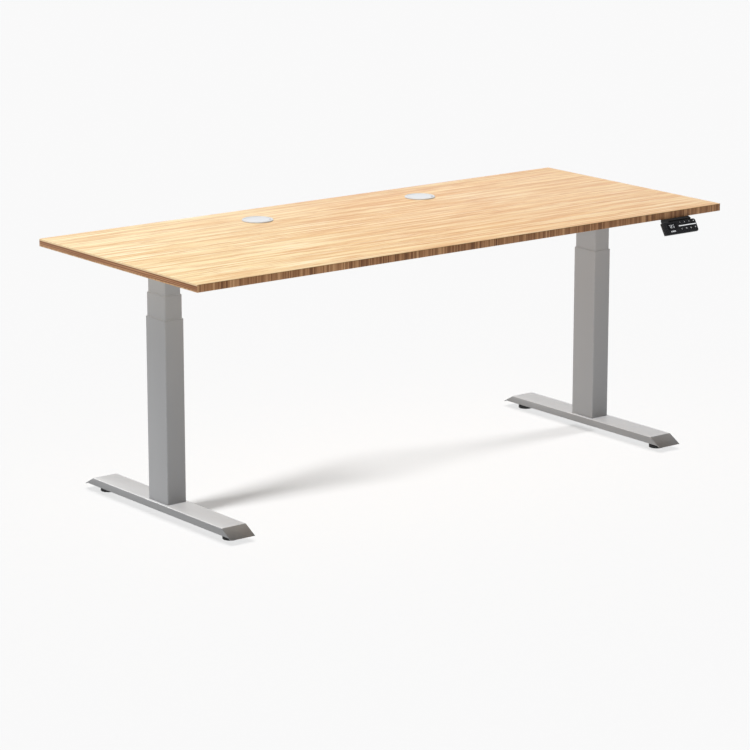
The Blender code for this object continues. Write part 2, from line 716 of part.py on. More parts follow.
def make_inlet(y):
    """Mains inlet: an open shroud with three blades, for a detachable cord."""
    shroud = box((BOX_X0 - 0.003, y - 0.014, 0.6560), (BOX_X0 + 0.018, y + 0.014, 0.6780))
    inlet = put("mains_inlet", shroud, BLACK)
    cut(inlet, box((BOX_X0 - 0.010, y - 0.012, 0.6580), (BOX_X0 + 0.015, y + 0.012, 0.6760)))
    for blade_y, blade_z in ((y - 0.007, 0.665), (y, 0.669), (y + 0.007, 0.665)):
        low = (BOX_X0 + 0.002, blade_y - 0.001, blade_z - 0.002)
        high = (BOX_X0 + 0.016, blade_y + 0.001, blade_z + 0.002)
        join(inlet, box(low, high))


def make_leads():
    """Two motor leads and the handset's lead, held under the desktop all the way."""
    hang = UNDERSIDE - GAP - LEAD_RADIUS - 0.001
    motor_end = LEG_X - 0.1265
    left = (
        (-motor_end, WORM_Y, WORM_Z),
        (-motor_end + 0.020, WORM_Y, WORM_Z),
        (-0.560, 0.028, hang - 0.006),
        (-0.500, 0.032, hang),
        (-0.250, 0.034, hang),
        (-0.020, 0.032, hang),
        (0.015, 0.024, 0.674),
        (BOX_X0 - 0.012, SOCKET_Y, SOCKET_Z),
        (BOX_X0 + 0.006, SOCKET_Y, SOCKET_Z),
    )
    right = (
        (motor_end, WORM_Y, WORM_Z),
        (motor_end - 0.020, WORM_Y, WORM_Z),
        (0.560, 0.028, hang - 0.006),
        (0.520, 0.031, hang),
        (0.400, 0.030, hang),
        (0.355, 0.024, 0.674),
        (BOX_X1 + 0.012, SOCKET_Y, SOCKET_Z),
        (BOX_X1 - 0.006, SOCKET_Y, SOCKET_Z),
    )
    under_rail = UNDERSIDE - GAP - RAIL_HEIGHT - LEAD_RADIUS - 0.001
    handset = (
        (0.722, -0.3440, 0.6740),
        (0.718, -0.3250, 0.6755),
        (0.695, -0.2900, hang),
        (0.640, -0.2200, hang),
        (0.590, -0.1500, hang),
        (0.560, -0.1150, 0.672),
        (0.535, -0.0880, under_rail),
        (0.505, -0.0600, under_rail),
        (0.470, -0.0380, 0.656),
        (0.400, -0.0240, 0.669),
        (BOX_X1 + 0.012, -SOCKET_Y, SOCKET_Z),
        (BOX_X1 - 0.006, -SOCKET_Y, SOCKET_Z),
    )
    wire("motor_lead_left", left, LEAD_RADIUS, BLACK)
    wire("motor_lead_right", right, LEAD_RADIUS, BLACK)
    wire("handset_lead", handset, LEAD_RADIUS, BLACK)


# ---------------------------------------------------------------- handset

def face_place():
    """Return the frame of the handset's face: X along it, Y up its slope, Z out of it."""
    up_slope = Vector((0.0, math.sin(FACE_LEAN), math.cos(FACE_LEAN)))
    outward = Vector((1.0, 0.0, 0.0)).cross(up_slope)
    top = Vector((HANDSET_X, *FACE_TOP))
    centre = top - up_slope * HANDSET_HEIGHT / 2
    place = Matrix.Identity(4)
    for column, axis in enumerate((Vector((1.0, 0.0, 0.0)), up_slope, outward, centre)):
        for row in range(3):
            place[row][column] = axis[row]
    return place


def plate_outline(left, right, bottom, top, radius):
    """Return a rounded rectangle between four sides."""
    centre = Vector(((left + right) / 2, (bottom + top) / 2))
    return [point + centre for point in rounded_rectangle(right - left, top - bottom, radius)]


def taper_case(case, place, half_width, half_height):
    """Plane the back of the case off towards its left end and its lower edge."""
    reach = HANDSET_DEPTH - RIM_DEPTH
    turns = (
        (-half_width, LEFT_TAPER, place @ Matrix.Rotation(math.radians(90.0), 4, "X")),
        (-half_height, LOWER_TAPER, place @ ALONG_X),
    )
    for side, inset, turned in turns:
        slope = inset / reach
        over = 0.002
        wedge = (
            (side - slope * over, -RIM_DEPTH + over),
            (side - 0.010, -RIM_DEPTH + over),
            (side - 0.010, -HANDSET_DEPTH - over),
            (side + inset + slope * over, -HANDSET_DEPTH - over),
        )
        cut(case, prism([wedge], -0.080, 0.080, turned))


def taper_tongue(case):
    """Cut the tongue's sides so that they close in towards its back edge."""
    over = 0.1
    length = TONGUE_BACK - TONGUE_FRONT
    for sign, inset in ((-1.0, TONGUE_LEFT_TAPER), (1.0, TONGUE_RIGHT_TAPER)):
        side = HANDSET_X + sign * TONGUE_HALF_WIDTH
        end = side - sign * inset * (1.0 + over)
        wedge = ((side, TONGUE_FRONT), (end, TONGUE_BACK + length * over), (side, TONGUE_BACK + length * over))
        cut(case, prism([wedge], UNDERSIDE - 0.040, UNDERSIDE + 0.002))


def make_handset():
    """Slanted case under the front edge, with a face plate, display and eight keys."""
    place = face_place()
    half_width = HANDSET_WIDTH / 2
    half_height = HANDSET_HEIGHT / 2
    body = plate_outline(-half_width, half_width, -half_height, half_height, 0.006)
    case = put("handset_case", prism([body], -HANDSET_DEPTH, 0.0, place), BLACK, bevel=0.0008)
    top = UNDERSIDE - GAP
    # A neck rises from the back of the slanted case to a flat tongue under the desktop.
    neck_high = top - 0.0040
    neck = (
        (TONGUE_FRONT, neck_high),
        (NECK_BACK, neck_high),
        (NECK_BACK, top - 0.0190),
        (-0.3720, top - 0.0300),
    )
    tongue = (
        (TONGUE_FRONT, top - 0.0060),
        (-0.3740, top),
        (TONGUE_BACK, top),
        (TONGUE_BACK, top - 0.0030),
        (NECK_BACK, top - 0.0050),
    )
    neck_right = HANDSET_X + TONGUE_HALF_WIDTH
    join(case, prism([tongue], HANDSET_X - TONGUE_HALF_WIDTH, neck_right, ALONG_X))
    join(case, prism([neck], NECK_LEFT, neck_right, ALONG_X))
    taper_tongue(case)
    taper_case(case, place, half_width, half_height)
    plate_left = -half_width + 0.0090
    plate_right = half_width - 0.0016
    plate_low = -half_height + 0.0015
    plate_high = half_height - 0.0010
    recess = plate_outline(plate_left - GAP, plate_right + GAP, plate_low - GAP, plate_high + GAP, 0.0040)
    cut(case, prism([recess], -FACE_THICKNESS - GAP, 0.010, place))
    pocket_sides = (plate_left + 0.002, plate_right - 0.0008, plate_low + 0.005, plate_high - 0.0012)
    cut(case, prism([plate_outline(*pocket_sides, 0.0020)], -HANDSET_DEPTH + 0.0025, 0.0, place))
    outlet = (0.722, -0.3400, 0.6745), (0.722, -0.3560, 0.6735)
    cut(case, cylinder(LEAD_RADIUS + 0.0005, *outlet, 12))

    outline = plate_outline(plate_left, plate_right, plate_low, plate_high, 0.0037)
    face = put("handset_face", prism([outline], -FACE_THICKNESS, 0.0, place), BLACK)
    lens_sides = (-0.0455, -0.0105, -0.0035, 0.0135)
    lens = plate_outline(*lens_sides, 0.0015)
    left, right, bottom, high = lens_sides
    window = plate_outline(left - GAP, right + GAP, bottom - GAP, high + GAP, 0.0018)
    cut(face, prism([window], -0.0010, 0.010, place))
    put("display_lens", prism([lens], -0.0007, 0.0, place), BLACK)

    width, height = KEY_SIZE
    for row, key_y in enumerate(KEY_ROWS, start=1):
        for number, key_x in enumerate(KEY_COLUMNS, start=1):
            sides = (key_x - width / 2, key_x + width / 2, key_y - height / 2, key_y + height / 2)
            hole = plate_outline(sides[0] - GAP, sides[1] + GAP, sides[2] - GAP, sides[3] + GAP, 0.0015)
            cut(face, prism([hole], -0.010, 0.010, place))
            key = prism([plate_outline(*sides, 0.0012)], KEY_BACK, KEY_PROUD, place)
            put(f"key_{row}_{number}", key, BLACK)

    board_sides = (plate_left + 0.005, plate_right - 0.002, plate_low + 0.0062, plate_high - 0.002)
    board = prism([plate_outline(*board_sides, 0.0010)], -0.0085, -0.0070, place)
    put("handset_board", board, BOARD)


# ---------------------------------------------------------------- the whole desk

make_desktop()
for side_name, side_sign in SIDES:
    make_grommet(side_name, side_sign)
    make_foot(side_name, side_sign)
    make_clamp_plate(side_name, side_sign)
    make_leveller(side_name, side_sign, "front", -LEVELLER_Y)
    make_leveller(side_name, side_sign, "back", LEVELLER_Y)
    make_column(side_name, side_sign)
    make_screws(side_name, side_sign)
    make_head(side_name, side_sign)
    make_motor(side_name, side_sign)
    make_worm_wheel(side_name, side_sign)
    make_bracket(side_name, side_sign)
make_rail("front", -RAIL_Y)
make_rail("back", RAIL_Y)
make_control_box()
make_leads()
make_handset()
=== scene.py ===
"""Looks of a height adjustable standing desk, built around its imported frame.

Metres, +Z up. +X runs along the desktop, -Y is the user's side and the floor is z = 0.
Every mesh is made in the frame's own coordinates, so a material's grain keeps its real
scale and direction from piece to piece.
"""
from __future__ import annotations

import json
import logging
import math
from dataclasses import dataclass, field
from enum import Enum
from typing import Callable, Sequence, Union

import bmesh
import bpy
from mathutils import Matrix, Vector

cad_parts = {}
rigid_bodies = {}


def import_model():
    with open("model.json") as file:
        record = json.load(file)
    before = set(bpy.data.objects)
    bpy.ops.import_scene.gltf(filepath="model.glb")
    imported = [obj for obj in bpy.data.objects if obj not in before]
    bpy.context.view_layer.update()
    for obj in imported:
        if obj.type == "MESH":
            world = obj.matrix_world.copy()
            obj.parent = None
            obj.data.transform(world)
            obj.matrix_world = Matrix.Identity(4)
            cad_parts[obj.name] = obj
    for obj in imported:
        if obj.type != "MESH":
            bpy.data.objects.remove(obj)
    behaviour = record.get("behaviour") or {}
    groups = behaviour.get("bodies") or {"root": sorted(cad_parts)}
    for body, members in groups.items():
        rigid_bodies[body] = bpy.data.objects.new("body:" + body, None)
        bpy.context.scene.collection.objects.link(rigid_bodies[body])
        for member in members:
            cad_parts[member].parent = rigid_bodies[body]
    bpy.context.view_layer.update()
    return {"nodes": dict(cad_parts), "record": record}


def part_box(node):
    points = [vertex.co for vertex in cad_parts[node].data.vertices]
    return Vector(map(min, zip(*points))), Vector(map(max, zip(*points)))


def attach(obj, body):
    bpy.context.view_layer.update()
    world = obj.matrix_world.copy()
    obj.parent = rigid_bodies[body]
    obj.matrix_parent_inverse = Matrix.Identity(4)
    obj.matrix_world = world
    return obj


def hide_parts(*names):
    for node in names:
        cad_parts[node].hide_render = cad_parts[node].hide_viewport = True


LOG = logging.getLogger("standing_desk")

Colour = tuple[float, float, float]
Point = tuple[float, float]
WELD = 0.00001
LIFT_OFF = 0.00003


# ---------------------------------------------------------------- shader graphs

class Channel:
    """A shader socket that takes part in ordinary arithmetic on values."""

    def __init__(self, graph: "Graph", socket: bpy.types.NodeSocket) -> None:
        """Wrap an output socket of a graph."""
        self.graph = graph
        self.socket = socket

    def __add__(self, other: "Feed") -> "Channel":
        """Return the sum."""
        return self.graph.math("ADD", self, other)

    def __radd__(self, other: "Feed") -> "Channel":
        """Return the sum with a number first."""
        return self.graph.math("ADD", other, self)

    def __sub__(self, other: "Feed") -> "Channel":
        """Return the difference."""
        return self.graph.math("SUBTRACT", self, other)

    def __rsub__(self, other: "Feed") -> "Channel":
        """Return a number less this value."""
        return self.graph.math("SUBTRACT", other, self)

    def __mul__(self, other: "Feed") -> "Channel":
        """Return the product."""
        return self.graph.math("MULTIPLY", self, other)

    def __rmul__(self, other: "Feed") -> "Channel":
        """Return the product with a number first."""
        return self.graph.math("MULTIPLY", other, self)

    def __truediv__(self, other: "Feed") -> "Channel":
        """Return the quotient."""
        return self.graph.math("DIVIDE", self, other)

    def floor(self) -> "Channel":
        """Return the whole part below the value."""
        return self.graph.math("FLOOR", self)

    def fraction(self) -> "Channel":
        """Return what is left above the whole part."""
        return self.graph.math("FRACT", self)

    def size(self) -> "Channel":
        """Return the value without its sign."""
        return self.graph.math("ABSOLUTE", self)

    def larger(self, other: "Feed") -> "Channel":
        """Return the larger of two values."""
        return self.graph.math("MAXIMUM", self, other)

    def rise(self, low: float, high: float) -> "Channel":
        """Return 0 below low, 1 above high and a smooth step between.

        Args:
            low: Where the step starts.
            high: Where it ends.

        Returns:
            The step.
        """
        step = self.graph.node(
            "MapRange",
            {"interpolation_type": "SMOOTHSTEP"},
            {"Value": self, "From Min": low, "From Max": high},
        )
        return Channel(self.graph, step.outputs[0])


Feed = Union[Channel, float, int, Sequence[float]]


class Graph:
    """A node tree that is written as expressions."""

    def __init__(self, tree: bpy.types.NodeTree) -> None:
        """Take over a node tree.

        Args:
            tree: The tree that the nodes go into.
        """
        self.tree = tree
        self._coordinates: bpy.types.Node | None = None
        self._axes: bpy.types.Node | None = None

    def feed(self, socket: bpy.types.NodeSocket, value: Feed) -> None:
        """Link a channel to a socket, or set its constant.

        Args:
            socket: The input socket.
            value: A channel, a number, a colour or a vector.
        """
        if isinstance(value, Channel):
            self.tree.links.new(value.socket, socket)
        elif socket.type == "RGBA":
            socket.default_value = (*value, 1.0)
        else:
            socket.default_value = value

    def node(
        self,
        kind: str,
        settings: dict[str, object] | None = None,
        values: dict[str | int, Feed] | None = None,
    ) -> bpy.types.Node:
        """Add a node.

        Args:
            kind: The node's type, without its ShaderNode prefix.
            settings: Properties, set first; "stops" holds a ramp's (place, colour) pairs.
            values: What feeds each socket, by the socket's name or number.

        Returns:
            The new node.
        """
        made = self.tree.nodes.new("ShaderNode" + kind)
        for name, setting in (settings or {}).items():
            if name == "stops":
                self._fill_ramp(made.color_ramp, setting)
            else:
                setattr(made, name, setting)
        for name, value in (values or {}).items():
            self.feed(made.inputs[name], value)
        return made

    @staticmethod
    def _fill_ramp(ramp: bpy.types.ColorRamp, stops: Sequence[tuple[float, Colour]]) -> None:
        """Give a colour ramp its stops.

        Args:
            ramp: The ramp.
            stops: A place and a colour for each stop.
        """
        while len(ramp.elements) < len(stops):
            ramp.elements.new(1.0)
        for element, (place, colour) in zip(ramp.elements, stops):
            element.position = place
            element.color = (*colour, 1.0)

    def math(self, operation: str, *values: Feed) -> Channel:
        """Return a Math node's result."""
        made = self.node("Math", {"operation": operation}, dict(enumerate(values)))
        return Channel(self, made.outputs[0])

    def coordinates(self, output: str) -> Channel:
        """Return an output of the texture coordinates.

        Args:
            output: The output's name.

        Returns:
            The coordinates.
        """
        if self._coordinates is None:
            self._coordinates = self.node("TexCoord")
        return Channel(self, self._coordinates.outputs[output])

    def parts(self, vector: Channel) -> tuple[Channel, Channel, Channel]:
        """Return a vector's three components."""
        made = self.node("SeparateXYZ", None, {0: vector})
        return tuple(Channel(self, output) for output in made.outputs)

    def place(self) -> tuple[Channel, Channel, Channel]:
        """Return the X, Y and Z of the shaded point, in the desk's own frame.

        Returns:
            The three values, in metres.
        """
        if self._axes is None:
            self._axes = self.node("SeparateXYZ", None, {0: self.coordinates("Object")})
        return tuple(Channel(self, output) for output in self._axes.outputs)

    def vector(self, x: Feed, y: Feed, z: Feed) -> Channel:
        """Return a vector made of three values."""
        made = self.node("CombineXYZ", None, {0: x, 1: y, 2: z})
        return Channel(self, made.outputs[0])

    def noise(self, vector: Channel, scale: float, detail: float = 2.0, roughness: float = 0.5) -> Channel:
        """Return smooth noise from 0 to 1."""
        values = {"Vector": vector, "Scale": scale, "Detail": detail, "Roughness": roughness}
        return Channel(self, self.node("TexNoise", None, values).outputs[0])

    def scatter(self, vector: Channel) -> Channel:
        """Return one random value for each place."""
        made = self.node("TexWhiteNoise", {"noise_dimensions": "3D"}, {"Vector": vector})
        return Channel(self, made.outputs["Value"])

    def strips(self, value: Feed, per_metre: float) -> Channel:
        """Return one random value for each of many strips of uneven width.

        Args:
            value: The place across the strips.
            per_metre: How many strips there are.

        Returns:
            The strips' random values.
        """
        made = self.node(
            "TexVoronoi", {"voronoi_dimensions": "1D"}, {"W": value, "Scale": per_metre}
        )
        return self.parts(Channel(self, made.outputs["Color"]))[0]

    def ramp(self, value: Channel, stops: Sequence[tuple[float, Colour]]) -> Channel:
        """Return the colour that a ramp gives a value."""
        made = self.node("ValToRGB", {"stops": stops}, {0: value})
        return Channel(self, made.outputs[0])

    def mix(self, share: Feed, first: Feed, second: Feed, blend: str = "MIX") -> Channel:
        """Return two colours mixed.

        Args:
            share: 0 for the first colour, 1 for the second.
            first: The first colour.
            second: The second colour.
            blend: How the second is laid over the first.

        Returns:
            The mixed colour.
        """
        settings = {"data_type": "RGBA", "blend_type": blend}
        made = self.node("Mix", settings, {0: share, 6: first, 7: second})
        return Channel(self, made.outputs[2])

    def shaded(self, colour: Feed, amount: Channel) -> Channel:
        """Return a colour made brighter or darker."""
        made = self.node("VectorMath", {"operation": "SCALE"}, {0: colour, "Scale": amount})
        return Channel(self, made.outputs[0])

    def edges(self, flat: float = 0.995, round_off: float = 0.90) -> Channel:
        """Return 1 where a face turns a corner and 0 where it is flat along an axis."""
        x, y, z = self.parts(self.coordinates("Normal"))
        return 1.0 - x.size().larger(y.size()).larger(z.size()).rise(round_off, flat)


class Paint(Graph):
    """A Principled material."""

    def __init__(self, name: str) -> None:
        """Make the material and clear its tree.

        Args:
            name: The material's name.
        """
        self.material = bpy.data.materials.new(name)
        self.material.use_nodes = True
        super().__init__(self.material.node_tree)
        self.shader = self.tree.nodes["Principled BSDF"]

    def finish(self, bump: tuple[Channel, float, float] | None = None, **sockets: Feed) -> bpy.types.Material:
        """Feed the shader and return the material.

        Args:
            bump: Height, strength and depth in metres of a relief, if there is one.
            sockets: What feeds each socket of the shader, its name in lower case.

        Returns:
            The finished material.
        """
        if bump is not None:
            height, strength, depth = bump
            values = {"Height": height, "Strength": strength, "Distance": depth}
            made = self.node("Bump", None, values)
            self.feed(self.shader.inputs["Normal"], Channel(self, made.outputs[0]))
        for name, value in sockets.items():
            self.feed(self.shader.inputs[name.replace("_", " ").title().replace("Ior", "IOR")], value)
        return self.material


# ---------------------------------------------------------------- finishes

@dataclass(frozen=True)
class Bamboo:
    """Lacquered three-ply bamboo with crosswise core strips that show on the long edges."""

    bottom: float
    top: float
    ply: float = 0.0042
    lamella: float = 0.0058

    def make(self) -> bpy.types.Material:
        """Make the finish.

        Returns:
            The material.
        """
        paint = Paint("bamboo")
        x, y, z = paint.place()
        nx, ny, nz = (part.size() for part in paint.parts(paint.coordinates("Normal")))
        face = self._face(paint, x, y)
        front = self._core_ends(paint, x, z)
        side = self._plies(paint, y, z)
        colour = paint.mix(ny.rise(0.70, 0.72), face, front)
        colour = paint.mix(nx.rise(0.70, 0.72), colour, side)
        arris = paint.edges(0.999, 0.85) * nz.rise(0.15, 0.5)
        colour = paint.mix(arris * 0.35, colour, (0.86, 0.66, 0.38))
        grain = paint.noise(paint.vector(x * 30.0, y * 700.0, z * 500.0), 1.0, 3.0)
        pores = paint.noise(paint.vector(x * 4.0, y * 4.0, z * 4.0), 1.0, 3.0)
        return paint.finish(
            bump=(grain, 0.05, 0.0002),
            base_color=colour,
            roughness=0.40 + 0.10 * pores + 0.06 * grain + 0.12 * ny.larger(nx).rise(0.6, 0.8),
            specular_ior_level=0.32,
        )

    def _face(self, paint: Paint, x: Channel, y: Channel) -> Channel:
        """Colour the top and the underside with long strips and tapering streaks, and a painted fall of light
        that leaves the left end paler and the right darker and warmer.

        Args:
            paint: The material's graph.
            x: Place along the board.
            y: Place across the board.

        Returns:
            The colour.
        """
        drift = paint.noise(paint.vector(x * 1.3, y * 9.0, 0.0), 1.0, 2.0) - 0.5
        across = y + drift * 0.012
        strip = (across / self.lamella).floor()
        shift = paint.scatter(paint.vector(strip, 3.0, 0.0))
        piece = (x / 0.74 + shift * 5.0).floor()
        tone = paint.scatter(paint.vector(strip, piece, 7.0))
        broad = paint.noise(paint.vector(x * 1.7, across * 40.0, 2.0), 1.0, 3.0, 0.6)
        streak = paint.noise(paint.vector(x * 3.2, across * 105.0, 5.0), 1.0, 4.0, 0.62)
        vein = paint.noise(paint.vector(x * 2.6, across * 52.0, 13.0), 1.0, 3.0, 0.55)
        fibre = paint.noise(paint.vector(x * 14.0, across * 700.0, 9.0), 1.0, 2.0)
        colour = paint.mix(broad.rise(0.38, 0.60), (0.960, 0.815, 0.495), (0.880, 0.650, 0.340))
        colour = paint.mix(streak.rise(0.46, 0.62) * 0.72, colour, (0.750, 0.440, 0.205))
        line = (1.0 - (vein - 0.5).size().rise(0.006, 0.034)) * broad.rise(0.32, 0.52)
        colour = paint.mix(line * 0.62, colour, (0.660, 0.335, 0.140))
        pale = 1.0 - streak.rise(0.36, 0.45)
        colour = paint.mix(pale * 0.80, colour, (1.000, 0.920, 0.680))
        colour = paint.shaded(colour, 0.965 + 0.06 * tone + 0.04 * fibre)
        # Painted light: from the left end to just right of the middle the board is multiplied darker and
        # warmer, as if lit more from the left.
        painted_light_falloff = x.rise(-0.95, 0.25)
        colour = paint.mix(painted_light_falloff, colour, (0.925, 0.800, 0.745), "MULTIPLY")
        knuckle = ((x / 0.265 + shift * 9.0).fraction() - 0.5).size()
        ring = (1.0 - knuckle.rise(0.004, 0.014)) * (0.08 + 0.16 * tone)
        return paint.mix(ring, colour, (0.56, 0.34, 0.16))

    def _core_ends(self, paint: Paint, x: Channel, z: Channel) -> Channel:
        """Colour the long edges: the ends of the core's strips, side by side.

        Args:
            paint: The material's graph.
            x: Place along the edge.
            z: Height.

        Returns:
            The colour.
        """
        sway = paint.noise(paint.vector(x * 60.0, z * 60.0, 0.0), 1.0, 1.0)
        tone = paint.strips(x + sway * 0.0010, 250.0)
        group = paint.strips(x, 62.0)
        drift = paint.noise(paint.vector(x * 9.0, 0.0, 4.0), 1.0, 2.0)
        fibre = paint.noise(paint.vector(x * 1300.0, 0.0, z * 90.0), 1.0, 2.0)
        blend = 0.50 * tone + 0.24 * group + 0.14 * drift + 0.12 * fibre
        colour = paint.ramp(
            blend,
            (
                (0.12, (0.150, 0.060, 0.022)),
                (0.30, (0.275, 0.122, 0.048)),
                (0.50, (0.400, 0.190, 0.080)),
                (0.68, (0.520, 0.268, 0.122)),
                (0.88, (0.680, 0.410, 0.205)),
            ),
        )
        veneer = (z - (self.top - 0.0019)).rise(0.0, 0.0006)
        colour = paint.mix(veneer * 0.55, colour, (0.640, 0.430, 0.190))
        line = 1.0 - (z - (self.top - 0.0022)).size().rise(0.0003, 0.0008)
        return paint.mix(line * 0.45, colour, (0.14, 0.060, 0.022))

    def _plies(self, paint: Paint, y: Channel, z: Channel) -> Channel:
        """Colour the short ends: a face veneer, outer plies and the core's strips lying along them.

        Args:
            paint: The material's graph.
            y: Place along the end.
            z: Height.

        Returns:
            The colour.
        """
        sway = paint.noise(paint.vector(y * 3.0, 0.0, 8.0), 1.0, 2.0) - 0.5
        depth = self.top - z + sway * 0.0016
        thickness = self.top - self.bottom
        ends = paint.strips(y, 170.0)
        lines = paint.noise(paint.vector(y * 4.0, depth * 420.0, 3.0), 1.0, 3.0, 0.6)
        core = paint.ramp(
            lines,
            (
                (0.32, (0.215, 0.085, 0.034)),
                (0.46, (0.400, 0.180, 0.080)),
                (0.56, (0.530, 0.262, 0.126)),
                (0.70, (0.690, 0.390, 0.205)),
            ),
        )
        outer = paint.ramp(
            0.6 * ends + 0.4 * lines,
            ((0.15, (0.430, 0.215, 0.095)), (0.85, (0.700, 0.440, 0.220))),
        )
        inside = depth.rise(self.ply - 0.0004, self.ply + 0.0004)
        inside = inside * (1.0 - depth.rise(thickness - self.ply, thickness - self.ply + 0.0006))
        colour = paint.mix(inside, outer, core)
        glue = 1.0 - (depth - self.ply - 0.0020).size().rise(0.0005, 0.0017)
        middle = 1.0 - (depth - thickness * 0.56).size().rise(0.0006, 0.0020)
        low = 1.0 - (depth - thickness + self.ply).size().rise(0.0003, 0.0010)
        seam = glue.larger(0.75 * middle).larger(0.7 * low)
        colour = paint.mix(seam * 0.80, colour, (0.130, 0.052, 0.020))
        return paint.mix((1.0 - depth.rise(0.0036, 0.0052)) * 0.8, colour, (0.900, 0.690, 0.420))


@dataclass(frozen=True)
class PowderCoat:
    """Silver-grey powder coat with a fine orange peel."""

    tone: float = 0.378
    roughness: float = 0.46
    gloss_coat: float = 0.10
    coat_roughness: float = 0.30

    def make(self) -> bpy.types.Material:
        """Make the finish.

        Returns:
            The material.
        """
        paint = Paint("powder_coat")
        place = paint.coordinates("Object")
        z = paint.place()[2]
        peel = paint.noise(place, 850.0, 2.0)
        flake = paint.noise(place, 2600.0, 0.0)
        cloud = paint.noise(place, 5.0, 2.0)
        # Rubbed edges: wear that lowers the roughness, and also a painted highlight that lightens the rounded
        # corners in patches.
        rub = paint.edges() * paint.noise(place, 160.0, 3.0).rise(0.42, 0.75)
        # Painted highlight: every rounded corner is lightened.
        soft = paint.edges(0.9999, 0.97)
        tone = 0.93 + 0.06 * cloud + 0.06 * flake + 0.08 * rub + 0.05 * soft
        # Painted shade: up to 3 % darker within 3 cm of the floor.
        tone = tone - 0.03 * (1.0 - z.rise(0.0, 0.03))
        base = (self.tone * 0.99, self.tone, self.tone * 1.022)
        return paint.finish(
            bump=(peel, 0.16, 0.00015),
            base_color=paint.shaded(base, tone),
            roughness=self.roughness + 0.08 * (peel - 0.5) + 0.05 * cloud - 0.05 * rub,
            coat_weight=self.gloss_coat,
            coat_roughness=self.coat_roughness,
        )


@dataclass(frozen=True)
class MouldedPlastic:
    """Injection-moulded plastic with a spark-eroded grain."""

    name: str
    colour: Colour
    roughness: float
    grain: float = 900.0
    relief: float = 0.10
    wear: float = 0.10

    def make(self) -> bpy.types.Material:
        """Make the finish.

        Returns:
            The material.
        """
        paint = Paint(self.name)
        place = paint.coordinates("Object")
        grain = paint.noise(place, self.grain, 2.0)
        cloud = paint.noise(place, 22.0, 3.0)
        rub = paint.edges() * paint.noise(place, 210.0, 3.0).rise(0.35, 0.75)
        tone = 0.95 + 0.07 * cloud + 0.03 * grain
        colour = paint.shaded(self.colour, tone)
        worn = tuple(min(1.0, 1.25 * part + 0.02) for part in self.colour)
        return paint.finish(
            bump=(grain, self.relief, 0.00012),
            base_color=paint.mix(rub * (self.wear * 6.0), colour, worn),
            roughness=self.roughness + 0.07 * (cloud - 0.5) - 0.06 * rub,
            specular_ior_level=0.45,
        )


class Grain(Enum):
    """The way a metal's machining marks run."""

    TURNED = (30.0, 30.0, 2400.0)
    DRAWN = (40.0, 1800.0, 1800.0)


@dataclass(frozen=True)
class MachinedMetal:
    """Bare metal with machining marks and a thin film of grease."""

    name: str
    colour: Colour
    roughness: float
    grain: Grain = Grain.TURNED

    def make(self) -> bpy.types.Material:
        """Make the finish.

        Returns:
            The material.
        """
        paint = Paint(self.name)
        x, y, z = paint.place()
        along = self.grain.value
        marks = paint.noise(paint.vector(x * along[0], y * along[1], z * along[2]), 1.0, 3.0)
        film = paint.noise(paint.coordinates("Object"), 45.0, 3.0)
        tone = 0.82 + 0.22 * marks + 0.10 * (film - 0.5) + 0.10 * paint.edges()
        return paint.finish(
            bump=(marks, 0.08, 0.0001),
            base_color=paint.shaded(self.colour, tone),
            roughness=self.roughness + 0.12 * (film - 0.4) + 0.08 * (marks - 0.5),
            metallic=1.0,
        )


@dataclass(frozen=True)
class CircuitBoard:
    """Green solder mask over copper tracks, with tinned pads."""

    def make(self) -> bpy.types.Material:
        """Make the finish.

        Returns:
            The material.
        """
        paint = Paint("circuit_board")
        x, y, _ = paint.place()
        lane = (y * 420.0).floor()
        turn = (x * 55.0 + paint.scatter(paint.vector(lane, 1.0, 0.0)) * 3.0).floor()
        runs = paint.scatter(paint.vector(lane, turn, 2.0)).rise(0.45, 0.46)
        track = runs * (1.0 - ((y * 420.0).fraction() - 0.5).size().rise(0.20, 0.26))
        pad_x = ((x * 200.0).fraction() - 0.5).size()
        pad_y = ((y * 200.0).fraction() - 0.5).size()
        pad = 1.0 - pad_x.larger(pad_y).rise(0.16, 0.20)
        pad = pad * paint.scatter(paint.vector((x * 200.0).floor(), (y * 200.0).floor(), 5.0)).rise(0.6, 0.61)
        mask = paint.mix(track, (0.012, 0.115, 0.045), (0.030, 0.205, 0.075))
        return paint.finish(
            bump=(track, 0.20, 0.00004),
            base_color=paint.mix(pad, mask, (0.62, 0.62, 0.60)),
            roughness=0.38 - 0.10 * pad,
            metallic=0.9 * pad,
        )


@dataclass(frozen=True)
class Jacket:
    """Black PVC cable jacket, a little scuffed."""

    def make(self) -> bpy.types.Material:
        """Make the finish.

        Returns:
            The material.
        """
        paint = Paint("cable")
        x, y, z = paint.place()
        draw = paint.noise(paint.vector(x * 60.0, y * 900.0, z * 900.0), 1.0, 2.0)
        scuff = paint.noise(paint.coordinates("Object"), 140.0, 4.0).rise(0.60, 0.80)
        return paint.finish(
            bump=(draw, 0.10, 0.00008),
            base_color=paint.mix(scuff * 0.5, (0.016, 0.016, 0.017), (0.055, 0.055, 0.057)),
            roughness=0.46 + 0.14 * scuff + 0.06 * draw,
        )


@dataclass(frozen=True)
class Rubber:
    """Black moulded rubber that picks up dust near the floor."""

    def make(self) -> bpy.types.Material:
        """Make the finish.

        Returns:
            The material.
        """
        paint = Paint("rubber")
        place = paint.coordinates("Object")
        z = paint.place()[2]
        grain = paint.noise(place, 700.0, 3.0)
        dust = paint.noise(place, 90.0, 4.0).rise(0.45, 0.75) * (1.0 - z.rise(0.001, 0.012))
        colour = paint.mix(dust * 0.5, (0.014, 0.014, 0.015), (0.075, 0.072, 0.068))
        return paint.finish(
            bump=(grain, 0.15, 0.00015),
            base_color=paint.shaded(colour, 0.85 + 0.3 * grain),
            roughness=0.66 + 0.18 * dust,
            specular_ior_level=0.35,
        )


